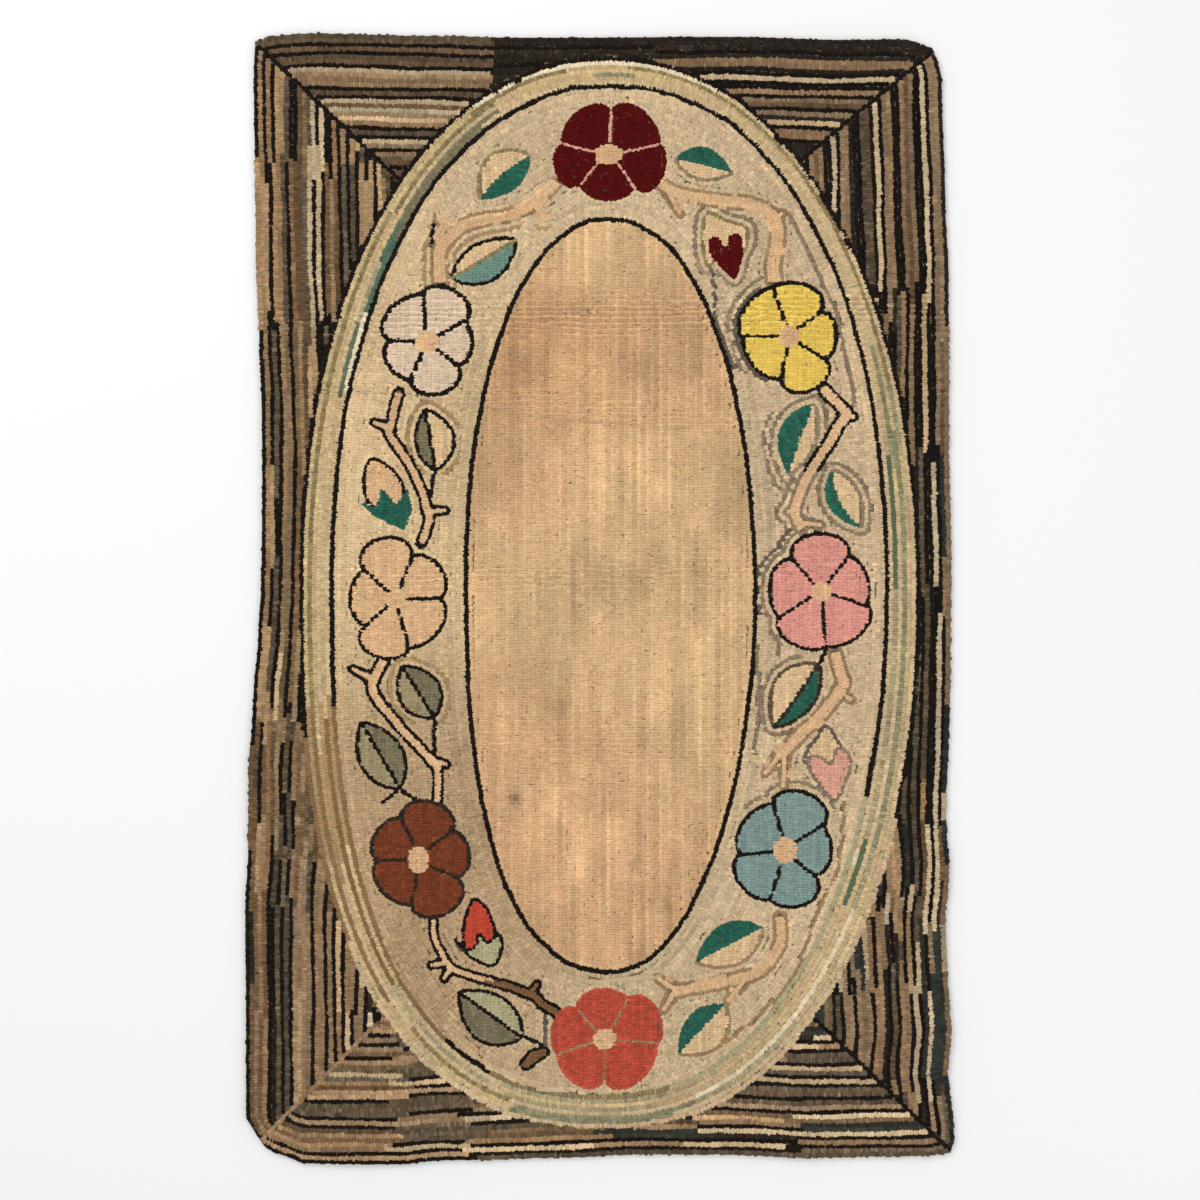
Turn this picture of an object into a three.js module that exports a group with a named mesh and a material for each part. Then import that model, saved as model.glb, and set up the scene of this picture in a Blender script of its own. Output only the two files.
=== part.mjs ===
// A hand-hooked rug of wool loops on a burlap ground, lying flat on a floor.
// It is one piece of cloth, so it is one solid: a thick, slightly wandering rectangle with a soft
// rounded rim, two old fold creases across it and small ripples where the rim lifts off the floor.
// Millimetres, +Z up, +Y along the rug. The origin is on the floor, under the middle of the rug.

import * as THREE from 'three';
import { mergeVertices } from 'three/addons/utils/BufferGeometryUtils.js';

const WIDTH = 914;
const LENGTH = 1456;
const THICKNESS = 8.5;

// How far each edge draws in from the full rectangle. "at" runs along the edge, from the middle.
const EDGE_INSETS = {
  left: [
    { at: -728, inset: 26 }, { at: -707, inset: 13 }, { at: -688, inset: 1 }, { at: -567, inset: 1 },
    { at: -413, inset: 0 }, { at: -336, inset: 4 }, { at: -233, inset: 5 }, { at: -181, inset: 10 },
    { at: -53, inset: 17 }, { at: 24, inset: 21 }, { at: 153, inset: 22 }, { at: 333, inset: 18 },
    { at: 461, inset: 14 }, { at: 693, inset: 11 }, { at: 728, inset: 13 },
  ],
  right: [
    { at: -728, inset: 5 }, { at: -702, inset: 0 }, { at: -670, inset: 4 }, { at: -618, inset: 10 },
    { at: -567, inset: 5 }, { at: -515, inset: 9 }, { at: -413, inset: 13 }, { at: -361, inset: 7 },
    { at: -284, inset: 12 }, { at: -78, inset: 6 }, { at: 24, inset: 5 }, { at: 256, inset: 8 },
    { at: 436, inset: 8 }, { at: 513, inset: 12 }, { at: 693, inset: 17 }, { at: 728, inset: 29 },
  ],
  top: [
    { at: -457, inset: 10 }, { at: -430, inset: 3 }, { at: -379, inset: 0 }, { at: -224, inset: 3 },
    { at: -122, inset: 5 }, { at: 33, inset: 5 }, { at: 187, inset: 4 }, { at: 341, inset: 8 },
    { at: 418, inset: 7 }, { at: 457, inset: 18 },
  ],
  bottom: [
    { at: -457, inset: 22 }, { at: -430, inset: 10 }, { at: -404, inset: 1 }, { at: -276, inset: 0 },
    { at: -224, inset: 5 }, { at: -45, inset: 9 }, { at: 33, inset: 13 }, { at: 161, inset: 13 },
    { at: 264, inset: 9 }, { at: 418, inset: 11 }, { at: 457, inset: 15 },
  ],
};

// Ripples that lift the rim: where along the edge, half width, height and how far in they reach.
const RIPPLES = [
  { edge: 'right', at: -361, half: 30, lift: 2.4, reach: 62 },
  { edge: 'right', at: -450, half: 34, lift: 1.8, reach: 55 },
  { edge: 'right', at: -567, half: 36, lift: 2.6, reach: 66 },
  { edge: 'right', at: 120, half: 60, lift: 1.4, reach: 45 },
  { edge: 'left', at: -250, half: 55, lift: 1.8, reach: 52 },
  { edge: 'left', at: 210, half: 70, lift: 1.2, reach: 42 },
  { edge: 'bottom', at: -330, half: 46, lift: 2.0, reach: 52 },
  { edge: 'bottom', at: 250, half: 60, lift: 1.6, reach: 50 },
  { edge: 'top', at: -380, half: 42, lift: 1.6, reach: 45 },
  { edge: 'top', at: 90, half: 70, lift: 1.2, reach: 40 },
];

// Old fold creases across the rug: height on the centre line, slope to the right, depth, half width.
const CREASES = [
  { at: 228, slope: -0.1, depth: 1.4, half: 11 },
  { at: -166, slope: -0.06, depth: 1.1, half: 11 },
];
const CREASE_PULL = 150; // how far from a crease the mesh lines still lean with it

// Broad unevenness of the hand-made pile, as a few long waves.
const SWELLS = [
  { height: 0.35, across: 310, along: 420, phase: 0.4 },
  { height: 0.25, across: 190, along: -260, phase: 2.1 },
];

// The rim's profile, from the floor up: how far in from the outline, and share of the thickness.
const RIM = [
  { inset: 1.6, share: 0 },
  { inset: 0, share: 0.26 },
  { inset: 0.3, share: 0.66 },
  { inset: 3.2, share: 0.95 },
];
const CROWN_INSET = 9; // where the top face reaches its full thickness

// The underside lies on the floor in one plain rectangle. Outside it the hem curls up a little.
const FLOOR_FACE = { width: 760, length: 1300 };
const HEM_CURL = 0.6; // how far the hem's lower edge stays off the floor
const CURL_REACH = 70; // how far in from the outline the curl begins
const UNDERSIDE_INSETS = [1.6, 18, 40]; // rings of the curled part, from the hem inwards

const COLUMNS = 36;
const ROWS = 46;
const EDGE_CROWDING = 0.45; // how strongly the mesh lines gather at the edges, from 0 to 1

function smooth(t) {
  const c = THREE.MathUtils.clamp(t, 0, 1);
  return c * c * (3 - 2 * c);
}

// The inset at a place along an edge, eased between the table's rows.
function edgeInset(rows, at) {
  const next = rows.findIndex((row) => row.at >= at);
  if (next === 0) return rows[0].inset;
  if (next < 0) return rows[rows.length - 1].inset;
  const [low, high] = [rows[next - 1], rows[next]];
  return THREE.MathUtils.lerp(low.inset, high.inset, smooth((at - low.at) / (high.at - low.at)));
}

// How far the mesh lines near a crease are moved, so that one of them runs along it.
function creaseLean(x, y) {
  return CREASES.reduce((sum, crease) => {
    const near = 1 - smooth(Math.abs(y - crease.at) / CREASE_PULL);
    return sum + crease.slope * x * near;
  }, 0);
}

// The place on the rug of a share across (0 left, 1 right) and a share along (0 bottom, 1 top).
function place(across, along) {
  const x = (across - 0.5) * WIDTH;
  const y = (along - 0.5) * LENGTH;
  const { left, right, top, bottom } = EDGE_INSETS;
  return {
    x: x + edgeInset(left, y) * (1 - across) - edgeInset(right, y) * across,
    y: y + creaseLean(x, y) + edgeInset(bottom, x) * (1 - along) - edgeInset(top, x) * along,
    nominalX: x,
    nominalY: y,
  };
}

// The rim's lift off the floor at a nominal place, from the ripples.
function liftAt(x, y) {
  return RIPPLES.reduce((sum, ripple) => {
    const sideways = ripple.edge === 'left' || ripple.edge === 'right';
    const inward = {
      left: x + WIDTH / 2, right: WIDTH / 2 - x, top: LENGTH / 2 - y, bottom: y + LENGTH / 2,
    }[ripple.edge];
    const aside = (sideways ? y : x) - ripple.at;
    const swell = Math.exp(-((aside / ripple.half) ** 2)) * (1 - smooth(inward / ripple.reach));
    return sum + ripple.lift * swell;
  }, 0);
}

// The top face's height over the underside, with its creases and swells.
function pileAt(x, y) {
  const trough = CREASES.reduce(
    (sum, crease) => sum + crease.depth * Math.exp(-(((y - crease.at) / crease.half) ** 2)),
    0,
  );
  const swell = SWELLS.reduce(
    (sum, wave) => sum + wave.height * Math.sin(x / wave.across + y / wave.along + wave.phase),
    0,
  );
  return THICKNESS - trough + swell;
}

// Shares along a side, from 0 to 1, gathered towards both ends.
function gathered(count) {
  return Array.from({ length: count + 1 }, (_, i) => {
    const even = i / count;
    const crowded = 0.5 - 0.5 * Math.cos(Math.PI * even);
    return THREE.MathUtils.lerp(even, crowded, EDGE_CROWDING);
  });
}

// Shares along the length, with extra mesh lines at each crease.
function rowShares() {
  const creaseLines = CREASES.flatMap(({ at, half }) => (
    [-2, -1, 0, 1, 2].map((step) => (at + step * half) / LENGTH + 0.5)
  ));
  const clear = CREASES[0].half / LENGTH;
  const others = gathered(ROWS).filter((share) => (
    creaseLines.every((line) => Math.abs(line - share) > clear)
  ));
  return [...others, ...creaseLines].sort((a, b) => a - b);
}

const columnShares = gathered(COLUMNS);
const lengthShares = rowShares();
const lastColumn = columnShares.length - 1;
const lastRow = lengthShares.length - 1;

// A share moved in from both ends by an inset in millimetres.
const drawnIn = (share, inset, size) => inset / size + share * (1 - (2 * inset) / size);

function pointAt(across, along, inset, heightOf) {
  const p = place(drawnIn(across, inset, WIDTH), drawnIn(along, inset, LENGTH));
  const lift = liftAt(p.nominalX, p.nominalY);
  return new THREE.Vector3(p.x, p.y, lift + heightOf(p.nominalX, p.nominalY));
}

// The shares of the points round the outline, anticlockwise from the bottom left corner.
const outlineShares = [
  ...columnShares.slice(0, lastColumn).map((across) => [across, 0]),
  ...lengthShares.slice(0, lastRow).map((along) => [1, along]),
  ...columnShares.slice(1).reverse().map((across) => [across, 1]),
  ...lengthShares.slice(1).reverse().map((along) => [0, along]),
];

function ring(inset, heightOf) {
  return outlineShares.map(([across, along]) => pointAt(across, along, inset, heightOf));
}

const triangles = [];

function quad(a, b, c, d) {
  triangles.push(a, b, c, a, c, d);
}

// A band of faces between two rings that face outwards when the second lies above or inside.
function band(lower, upper) {
  lower.forEach((point, i) => {
    const next = (i + 1) % lower.length;
    quad(point, lower[next], upper[next], upper[i]);
  });
}

// The points on the edge of the rectangle that touches the floor.
function floorRing() {
  const { width, length } = FLOOR_FACE;
  return outlineShares.map(([across, along]) => (
    new THREE.Vector3((across - 0.5) * width, (along - 0.5) * length, 0)
  ));
}

function addUnderside() {
  const floor = floorRing();
  const rings = UNDERSIDE_INSETS.map((inset) => (
    ring(inset, () => HEM_CURL * (1 - smooth((inset - RIM[0].inset) / CURL_REACH)))
  ));
  rings.push(floor);
  for (let i = 1; i < rings.length; i += 1) band(rings[i], rings[i - 1]);
  const flat = floor.map((point) => new THREE.Vector2(point.x, point.y));
  THREE.ShapeUtils.triangulateShape(flat, []).forEach(([a, b, c]) => {
    triangles.push(floor[a], floor[c], floor[b]);
  });
}

function addRim() {
  const rings = RIM.map(({ inset, share }) => (
    ring(inset, (x, y) => THREE.MathUtils.lerp(HEM_CURL, pileAt(x, y), share))
  ));
  for (let i = 1; i < rings.length; i += 1) band(rings[i - 1], rings[i]);
  band(rings[rings.length - 1], ring(CROWN_INSET, pileAt));
}

function addTopFace() {
  const grid = lengthShares.map((along) => (
    columnShares.map((across) => pointAt(across, along, CROWN_INSET, pileAt))
  ));
  for (let row = 0; row < lastRow; row += 1) {
    for (let column = 0; column < lastColumn; column += 1) {
      quad(
        grid[row][column], grid[row][column + 1],
        grid[row + 1][column + 1], grid[row + 1][column],
      );
    }
  }
}

function rugGeometry() {
  addUnderside();
  addRim();
  addTopFace();
  const geometry = new THREE.BufferGeometry().setFromPoints(triangles);
  geometry.computeBoundingBox();
  const middle = geometry.boundingBox.getCenter(new THREE.Vector3());
  geometry.translate(-middle.x, -middle.y, -geometry.boundingBox.min.z);
  const merged = mergeVertices(geometry, 1e-3);
  merged.computeVertexNormals();
  return merged;
}

const rug = new THREE.Mesh(
  rugGeometry(),
  new THREE.MeshStandardMaterial({ color: 0xb39a78, roughness: 0.96, metalness: 0 }),
);
rug.name = 'hooked_rug';

const object = new THREE.Group();
object.add(rug);

export default object;
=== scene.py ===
import math

import bpy
import numpy as np
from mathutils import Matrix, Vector
from mathutils.bvhtree import BVHTree


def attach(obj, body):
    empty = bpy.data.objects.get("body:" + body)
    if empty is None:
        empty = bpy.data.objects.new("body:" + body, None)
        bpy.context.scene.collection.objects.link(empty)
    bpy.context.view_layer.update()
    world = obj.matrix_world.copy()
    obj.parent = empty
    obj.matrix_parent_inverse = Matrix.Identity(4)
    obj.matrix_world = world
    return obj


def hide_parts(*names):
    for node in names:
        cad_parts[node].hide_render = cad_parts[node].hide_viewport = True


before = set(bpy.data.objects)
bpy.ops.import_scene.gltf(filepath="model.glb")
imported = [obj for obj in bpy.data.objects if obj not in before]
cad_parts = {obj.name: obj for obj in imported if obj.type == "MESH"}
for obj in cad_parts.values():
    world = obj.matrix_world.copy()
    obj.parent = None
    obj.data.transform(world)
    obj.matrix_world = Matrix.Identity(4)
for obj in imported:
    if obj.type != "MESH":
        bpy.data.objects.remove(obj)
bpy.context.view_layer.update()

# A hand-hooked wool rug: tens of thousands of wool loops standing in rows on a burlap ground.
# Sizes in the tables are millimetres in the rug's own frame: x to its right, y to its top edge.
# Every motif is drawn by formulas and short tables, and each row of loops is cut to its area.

MM = 0.001
rug_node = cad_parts["hooked_rug"]
rng = np.random.default_rng(1931)


def table(columns, *rows):
    """Rows with named columns. A row may leave out its last columns."""
    return [dict(zip(columns.split(), row)) for row in rows]


# The hooking.
ROW_PITCH = 5.6  # from one row of loops to the next
RIM_PITCH = 5.0  # the same in the rows that go round a shape, inside or outside it
LOOP_PITCH = 3.6  # from one loop to the next in its row
LINE_WIDTH = 5.0  # a single row that draws an outline
LINE_PITCH = 3.4
LINE_CLEARANCE = 3.5  # how near to an outline's middle the loops of a filling may stand
PILE_DEPTH = 1.7  # how deep the gaps between the loops go
SAMPLE_STEP = 0.5  # how finely a row is followed
STEADY = 0.8  # how nearly upright or level a row is that keeps in step with its neighbours
SHORTEST_RUN = 1.0
RUN_OVERLAP = 0.9  # how far a run of loops reaches over its neighbours
LINE_STRAY = 0.45  # how far the loops of an outline stray to its side
MOST_LOOPS = 13500  # in one piece
FIELD_STEP = 1.5  # how finely a line at a distance from a shape is looked for

# The single rows that outline motifs: how wide each is, and how far it clears to each side.
LEAF_LINE, LEAF_CLEARANCE = 4.8, 2.5
STEM_LINE, STEM_CLEARANCE = 4.6, 2.4
BUD_LINE, BUD_CLEARANCE = 4.4, 2.3
HAND_LINE, HAND_CLEARANCE = 4.6, 2.6
ECHO_LINE, ECHO_CLEARANCE = 4.6, 2.5
LEAF_SPACING, BUD_SPACING = 5.2, 4.2  # from one row of their filling to the next
FLOWER_CHARTED, FLOWER_HOOKED = 90, 84  # how far round a flower's middle it is marked and filled

# The chart on which areas are marked before they are hooked.
CELL = 1.0
CHART_LEFT, CHART_BOTTOM = -470.0, -742.0
CHART_COLUMNS, CHART_ROWS = 940, 1484

# Dyed wools, as sRGB from 0 to 255. Tweed and faded wools also have how unevenly they are
# coloured, from loop to loop. The rest are even.
WOOL = {
    "ink": (24, 18, 13, 0.22), "charcoal": (45, 37, 29, 0.22), "sea_charcoal": (52, 53, 45, 0.2),
    "grey_brown": (94, 80, 62, 0.24), "brown": (112, 87, 62, 0.18), "tan": (150, 121, 90, 0.14),
    "ochre": (173, 141, 103, 0.12), "cream": (197, 172, 135, 0.09), "white": (222, 205, 173),
    "straw": (194, 170, 126, 0.1), "olive": (140, 122, 84, 0.16), "dun": (134, 107, 73),
    "fawn": (168, 139, 99), "sage": (166, 154, 120, 0.14), "mist_green": (138, 134, 104, 0.14),
    "bottle_green": (92, 106, 78), "fir": (78, 102, 84), "honey": (208, 174, 130, 0.05),
    "biscuit": (205, 166, 124, 0.05), "toast": (197, 155, 113, 0.06), "oatmeal": (199, 175, 140, 0.09),
    "sand": (204, 178, 138, 0.07), "stone": (199, 174, 140, 0.09), "mushroom": (178, 150, 115, 0.09),
    "slate": (98, 88, 76, 0.14), "ash": (138, 120, 97, 0.12), "hazel": (152, 125, 91),
    "khaki": (158, 142, 108), "maroon": (80, 5, 6, 0.12), "mustard": (222, 190, 90),
    "rose": (214, 148, 134), "pale_blue": (126, 148, 142), "coral": (180, 76, 56, 0.1),
    "rust": (116, 58, 34, 0.12), "peach": (212, 174, 131, 0.07), "shell": (213, 189, 162),
    "blossom": (208, 168, 128), "teal": (38, 92, 76, 0.14), "sea_green": (108, 138, 124),
    "moss": (120, 112, 86, 0.1), "ivory": (211, 181, 139), "lichen": (172, 164, 128),
    "stem_peach": (210, 173, 132), "stem_brown": (120, 88, 58), "poppy": (184, 70, 50),
    "pale_pink": (214, 160, 138),
}
EVEN = 0.06
BORDER_WOOLS = {
    "K": "ink", "D": "charcoal", "S": "sea_charcoal", "G": "grey_brown", "B": "brown", "T": "tan",
    "O": "ochre", "L": "cream",
}
BAND_WOOLS = {
    "W": "white", "C": "cream", "Y": "straw", "o": "olive", "s": "sage", "g": "mist_green",
    "e": "bottle_green", "f": "fir", "q": "moss", "t": "fawn", "d": "dun",
}

# The three ovals: middle, half sizes, tilt in degrees, and how square each quarter is, where 2 is
# an ellipse: upper right, upper left, lower left, lower right.
OVALS = {
    "centre": {
        "x": 14, "y": 4, "across": 186, "along": 484, "tilt": 0.6,
        "square": np.array([2.18, 2.10, 2.45, 1.90]),
    },
    "band_inner": {
        "x": 12, "y": 9, "across": 357, "along": 650, "tilt": 0,
        "square": np.array([2.22, 2.15, 2.52, 2.12]),
    },
    "band_outer": {
        "x": 13, "y": 8, "across": 397, "along": 686, "tilt": 0,
        "square": np.array([2.10, 2.17, 2.50, 2.20]),
    },
}
GROUND_ROWS = 30
BAND_ROWS = 6
OVAL_LINE = 6.0
OVAL_EDGE = (OVAL_LINE + RIM_PITCH) / 2
FULL_TURN = np.linspace(0, 2 * np.pi, 1441)

# The mitres of the border, from the corner of the rug to the oval.
MITRES = table(
    "name corner oval wool",
    ("top_left", (-439, 712), (-250, 532), "ink"),
    ("top_right", (431, 706), (258, 564), "ink"),
    ("bottom_left", (-434, -695), (-289, -548), "tan"),
    ("bottom_right", (450, -708), (251, -515), "ink"),
)

# The border's rows from the edge inwards, one letter a row. Each chart runs on to its "to",
# which is a height on the sides and a place across on the top and bottom.
BORDER_CHARTS = {
    "left": table(
        "to rows",
        (-515, "KBTBTKDGKGKTOTTKTTKTKTKLKTTKLK"),
        (-395, "KDBTBKKGKGKTTOTKTTKTKLKTTKL"),
        (-314, "KBOTTKGKGKTBTTGKTT"),
        (-267, "BBOTTBOGKGKTBBT"),
        (-165, "BGKBTBOKGKTBT"),
        (-135, "KBTOBTTTKGKTB"),
        (-50, "KOOGKLBKBOK"),
        (42, "KTKGKTTKBLK"),
        (150, "KOOKKTTKBOBK"),
        (256, "KTKGKTTKBOBTTK"),
        (348, "KTKGKTTKBOBOOKKG"),
        (560, "OOOKOTGKBBBGLKLKBTBKGKGK"),
        (760, "KTKTKOOGKKBBGLKLK"),
    ),
    "right": table(
        "to rows",
        (-631, "SGTKTKDKTTGKTKGTTKTT"),
        (-488, "TSSSLSKLKTTKGKDTTKTTTKTTKGKG"),
        (-420, "LSSTKSLKOKGDKDTTKT"),
        (-364, "TDLKLGGKLKOOBLKK"),
        (-287, "SBLKLBKGKSKOOTK"),
        (-230, "LKLKKTKGKGKTKL"),
        (-130, "SKLKKGKGKGKK"),
        (-1, "TKLKKGKGKK"),
        (57, "TTKLKKGDDDK"),
        (101, "TSKLKKGDDDK"),
        (185, "TSKLKKGDDDLK"),
        (333, "TBTKKLKKTKTGKK"),
        (384, "DTTKKLKKTKTGDTTKL"),
        (760, "DTTKLKKTBTKKTTKLKGGKK"),
    ),
    "bottom": table(
        "to rows",
        (-255, "KTKTTBTBKTKGGGKTTBTGLGBTKBT"),
        (-165, "KTKLKGGGGTTKGGG"),
        (0, "GKLKTBB"),
        (129, "GKTKSST"),
        (258, "GKLKDLKTOBKTGKGGKLKGLKT"),
        (480, "GGKTKLSSBLKTGKGGKLKGLK"),
    ),
    "top": table(
        "to rows",
        (-138, "GBKBKGBKLTTTKGKLBLTLTKGKLTKT"),
        (71, "DDKDDDKDDD"),
        (480, "DDDKDTTDKLKKTKTBKTDLKTTKD"),
    ),
}
# How pale each side's wools are, and how far one of its rows may run past a joint.
SIDE_SHADE = {"left": 0.90, "right": 0.86, "bottom": 1.08, "top": 0.80}
CHART_STAGGER = {"left": 24, "right": 24, "bottom": 24, "top": 3}
DEEPEST_ROW = 34

# The oval band's rows from the outside in, by degrees round the oval, clockwise from the top.
BAND_CHART = table(
    "to rows",
    (4, "WYYgYC"),
    (18, "WoYYYC"),
    (66, "CoYCYC"),
    (74, "CgYgYC"),
    (86, "CYgYeC"),
    (118, "CYgCsC"),
    (124, "CYsCeW"),
    (140, "CYWYCY"),
    (166, "CsWYCY"),
    (200, "ggCsYs"),
    (221, "CYoCsC"),
    (239, "YdCYdY"),
    (256, "tdttdt"),
    (294, "YoYCYC"),
    (304, "YoYCeW"),
    (309, "YoYCsf"),
    (316, "YoYYff"),
    (336, "YYoCqq"),
    (355, "WoYYYC"),
    (360, "WYYgYC"),
)
BAND_LINES = {
    "band_outer": table(
        "to wool",
        (114, "ink"), (233, "cream"), (255, "dun"),
        (360, "ink"),
    ),
    "band_inner": table(
        "to wool",
        (114, "ink"), (168, "lichen"), (204, "olive"),
        (213, "ink"), (257, "dun"), (360, "ink"),
    ),
}

# Where the ground and the centre change shade. "reach" is how far each shade spreads.
GROUND_SHADES = table(
    "x y reach wool",
    (0, 560, 190, "oatmeal"),
    (250, 380, 160, "oatmeal"),
    (270, 60, 190, "stone"),
    (260, -300, 160, "oatmeal"),
    (-270, 200, 190, "sand"),
    (-280, -30, 120, "sand"),
    (-260, -260, 140, "mushroom"),
    (-180, -480, 130, "mushroom"),
    (60, -600, 170, "oatmeal"),
)
CENTRE_SHADES = table(
    "x y reach wool",
    (0, 430, 70, "honey"),
    (-40, 320, 75, "toast"),
    (80, 300, 80, "biscuit"),
    (-90, 180, 70, "biscuit"),
    (60, 110, 120, "honey"),
    (-60, 0, 100, "honey"),
    (90, -150, 110, "honey"),
    (-70, -200, 100, "biscuit"),
    (-10, -370, 140, "biscuit"),
)
STAINS = table(
    "x y radius dark",
    (-109, -256, 6.5, 0.6),
    (46, -338, 10, 0.26),
    (88, -396, 6, 0.22),
    (30, 150, 45, 0.05),
    (-70, 330, 60, 0.06),
)
# Fold creases. Painted shade darkens the wool along each by its dark value; where its gap is set, no loop
# stands within that distance of it.
CREASES = table(
    "from to half dark gap",
    ((-438, 272), (-226, 262), 5, 0.08, 0.8),
    ((-438, 266), (-330, 262), 3, 0.05, 0.8),
    ((-226, 258), (-40, 230), 2.5, 0.12, 0),
    ((-40, 230), (112, 219), 2.5, 0.12, 0),
    ((-300, -142), (-230, -138), 3, 0.08, 0.8),
    ((-52, 33), (-164, -78), 3, 0.10, 0),
)

# Bands across the rug where the ground has shrunk, so that the loops crowd and stand unevenly.
RUCKED_BANDS = table(
    "y slope half depth",
    (366, 0.02, 26, 1.0),
    (245, -0.10, 18, 0.4),
    (30, 0.02, 24, 0.5),
    (-185, -0.05, 26, 0.4),
)
RIPPLE_SHADE = 0.14  # painted shade and light: how much every second loop of those bands is darker and the next paler
SIDE_STRAY = 0.42  # how far a loop strays to the side of its row
AHEAD_STRAY = 0.22

# The eight flowers. Dividers run from the disc to a notch: (degrees, how far out). Each petal
# fills the space to the next divider and reaches that far out.
FLOWERS = table(
    "name at disc disc_wool line line_width divider_width dividers petals",
    ("maroon", (12, 572), (18, 13.5), "blossom", "pale_pink", 0, 3.4,
     [(11, 67), (87, 55), (167, 60), (227, 54), (307, 54)], [72, 69, 73, 61, 76]),
    ("mustard", (244, 338), (12, 14), "blossom", "ink", 5.4, 4.8,
     [(38, 47), (109, 67), (180, 61), (259, 54), (327, 53)], [69, 68, 60, 75, 61]),
    ("rose", (285, 10), (13, 12), "peach", "ink", 5.0, 4.6,
     [(52, 56), (132, 53), (212, 62), (275, 70), (342, 62)], [74, 67, 77, 75, 62]),
    ("pale_blue", (239, -323), (15, 17), "blossom", "ink", 5.4, 5.0,
     [(34, 58), (105, 61), (186, 55), (253, 65), (319, 44)], [78, 65, 73, 74, 59]),
    ("coral", (7, -566), (15, 13), "peach", "hazel", 0, 3.4,
     [(60, 59), (133, 52), (197, 64), (269, 51), (356, 69)], [66, 71, 70, 71, 78]),
    ("rust", (-233, -335), (13.5, 17.5), "blossom", "charcoal", 5.4, 4.6,
     [(41, 52), (112, 56), (181, 49), (262, 58), (335, 48)], [76, 64, 62, 78, 66]),
    ("peach", (-262, 0), (12, 12), "peach", "ink", 5.2, 4.8,
     [(1, 52), (69, 54), (137, 53), (221, 50), (285, 64)], [70, 80, 59, 78, 69]),
    ("shell", (-222, 331), (15, 14), "peach", "ink", 6.2, 5.6,
     [(29, 55), (95, 61), (179, 44), (247, 51), (322, 47)], [74, 63, 58, 69, 58]),
)

# The leaves, from stem end to tip. Each half has its width, its wool and its outline's wool.
LEAVES = table(
    "name stem tip left right bend midrib",
    ("a", (-90, 570), (-154, 514), (20, "teal", None), (33, "ivory", "olive"), -6, None),
    ("b", (-189, 413), (-107, 462), (21, "ivory", "ink"), (29, "sea_green", "ink"), 0, "olive"),
    ("c", (98, 566), (170, 548), (24, "teal", None), (18, "ivory", "ash"), 0, None),
    ("d", (275, 250), (243, 160), (19, "ivory", "ash"), (30, "teal", None), -1, None),
    ("e", (299, 165), (336, 92), (18, "ivory", "ash"), (25, "teal", None), -9, None),
    ("f", (281, -84), (224, -165), (24, "teal", "charcoal"), (33, "ivory", "grey_brown"), 2, "charcoal"),
    ("g", (209, -423), (124, -467), (27, "ivory", "hazel"), (28, "teal", None), 0, None),
    ("h", (161, -522), (102, -585), (31, "ivory", "hazel"), (24, "teal", None), 0, None),
    ("i", (-100, -564), (-180, -506), (35, "moss", "ink"), (27, "lichen", "ink"), 0, "ink"),
    ("j", (-211, 166), (-224, 244), (19, "moss", "ink"), (31, "ivory", "ink"), 0, "ink"),
    ("k", (-212, -152), (-254, -87), (26, "khaki", "ink"), (28, "moss", "ink"), 0, "ink"),
    ("l", (-257, -243), (-306, -159), (29, "khaki", "ink"), (28, "moss", "ink"), 0, "ink"),
)

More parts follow.
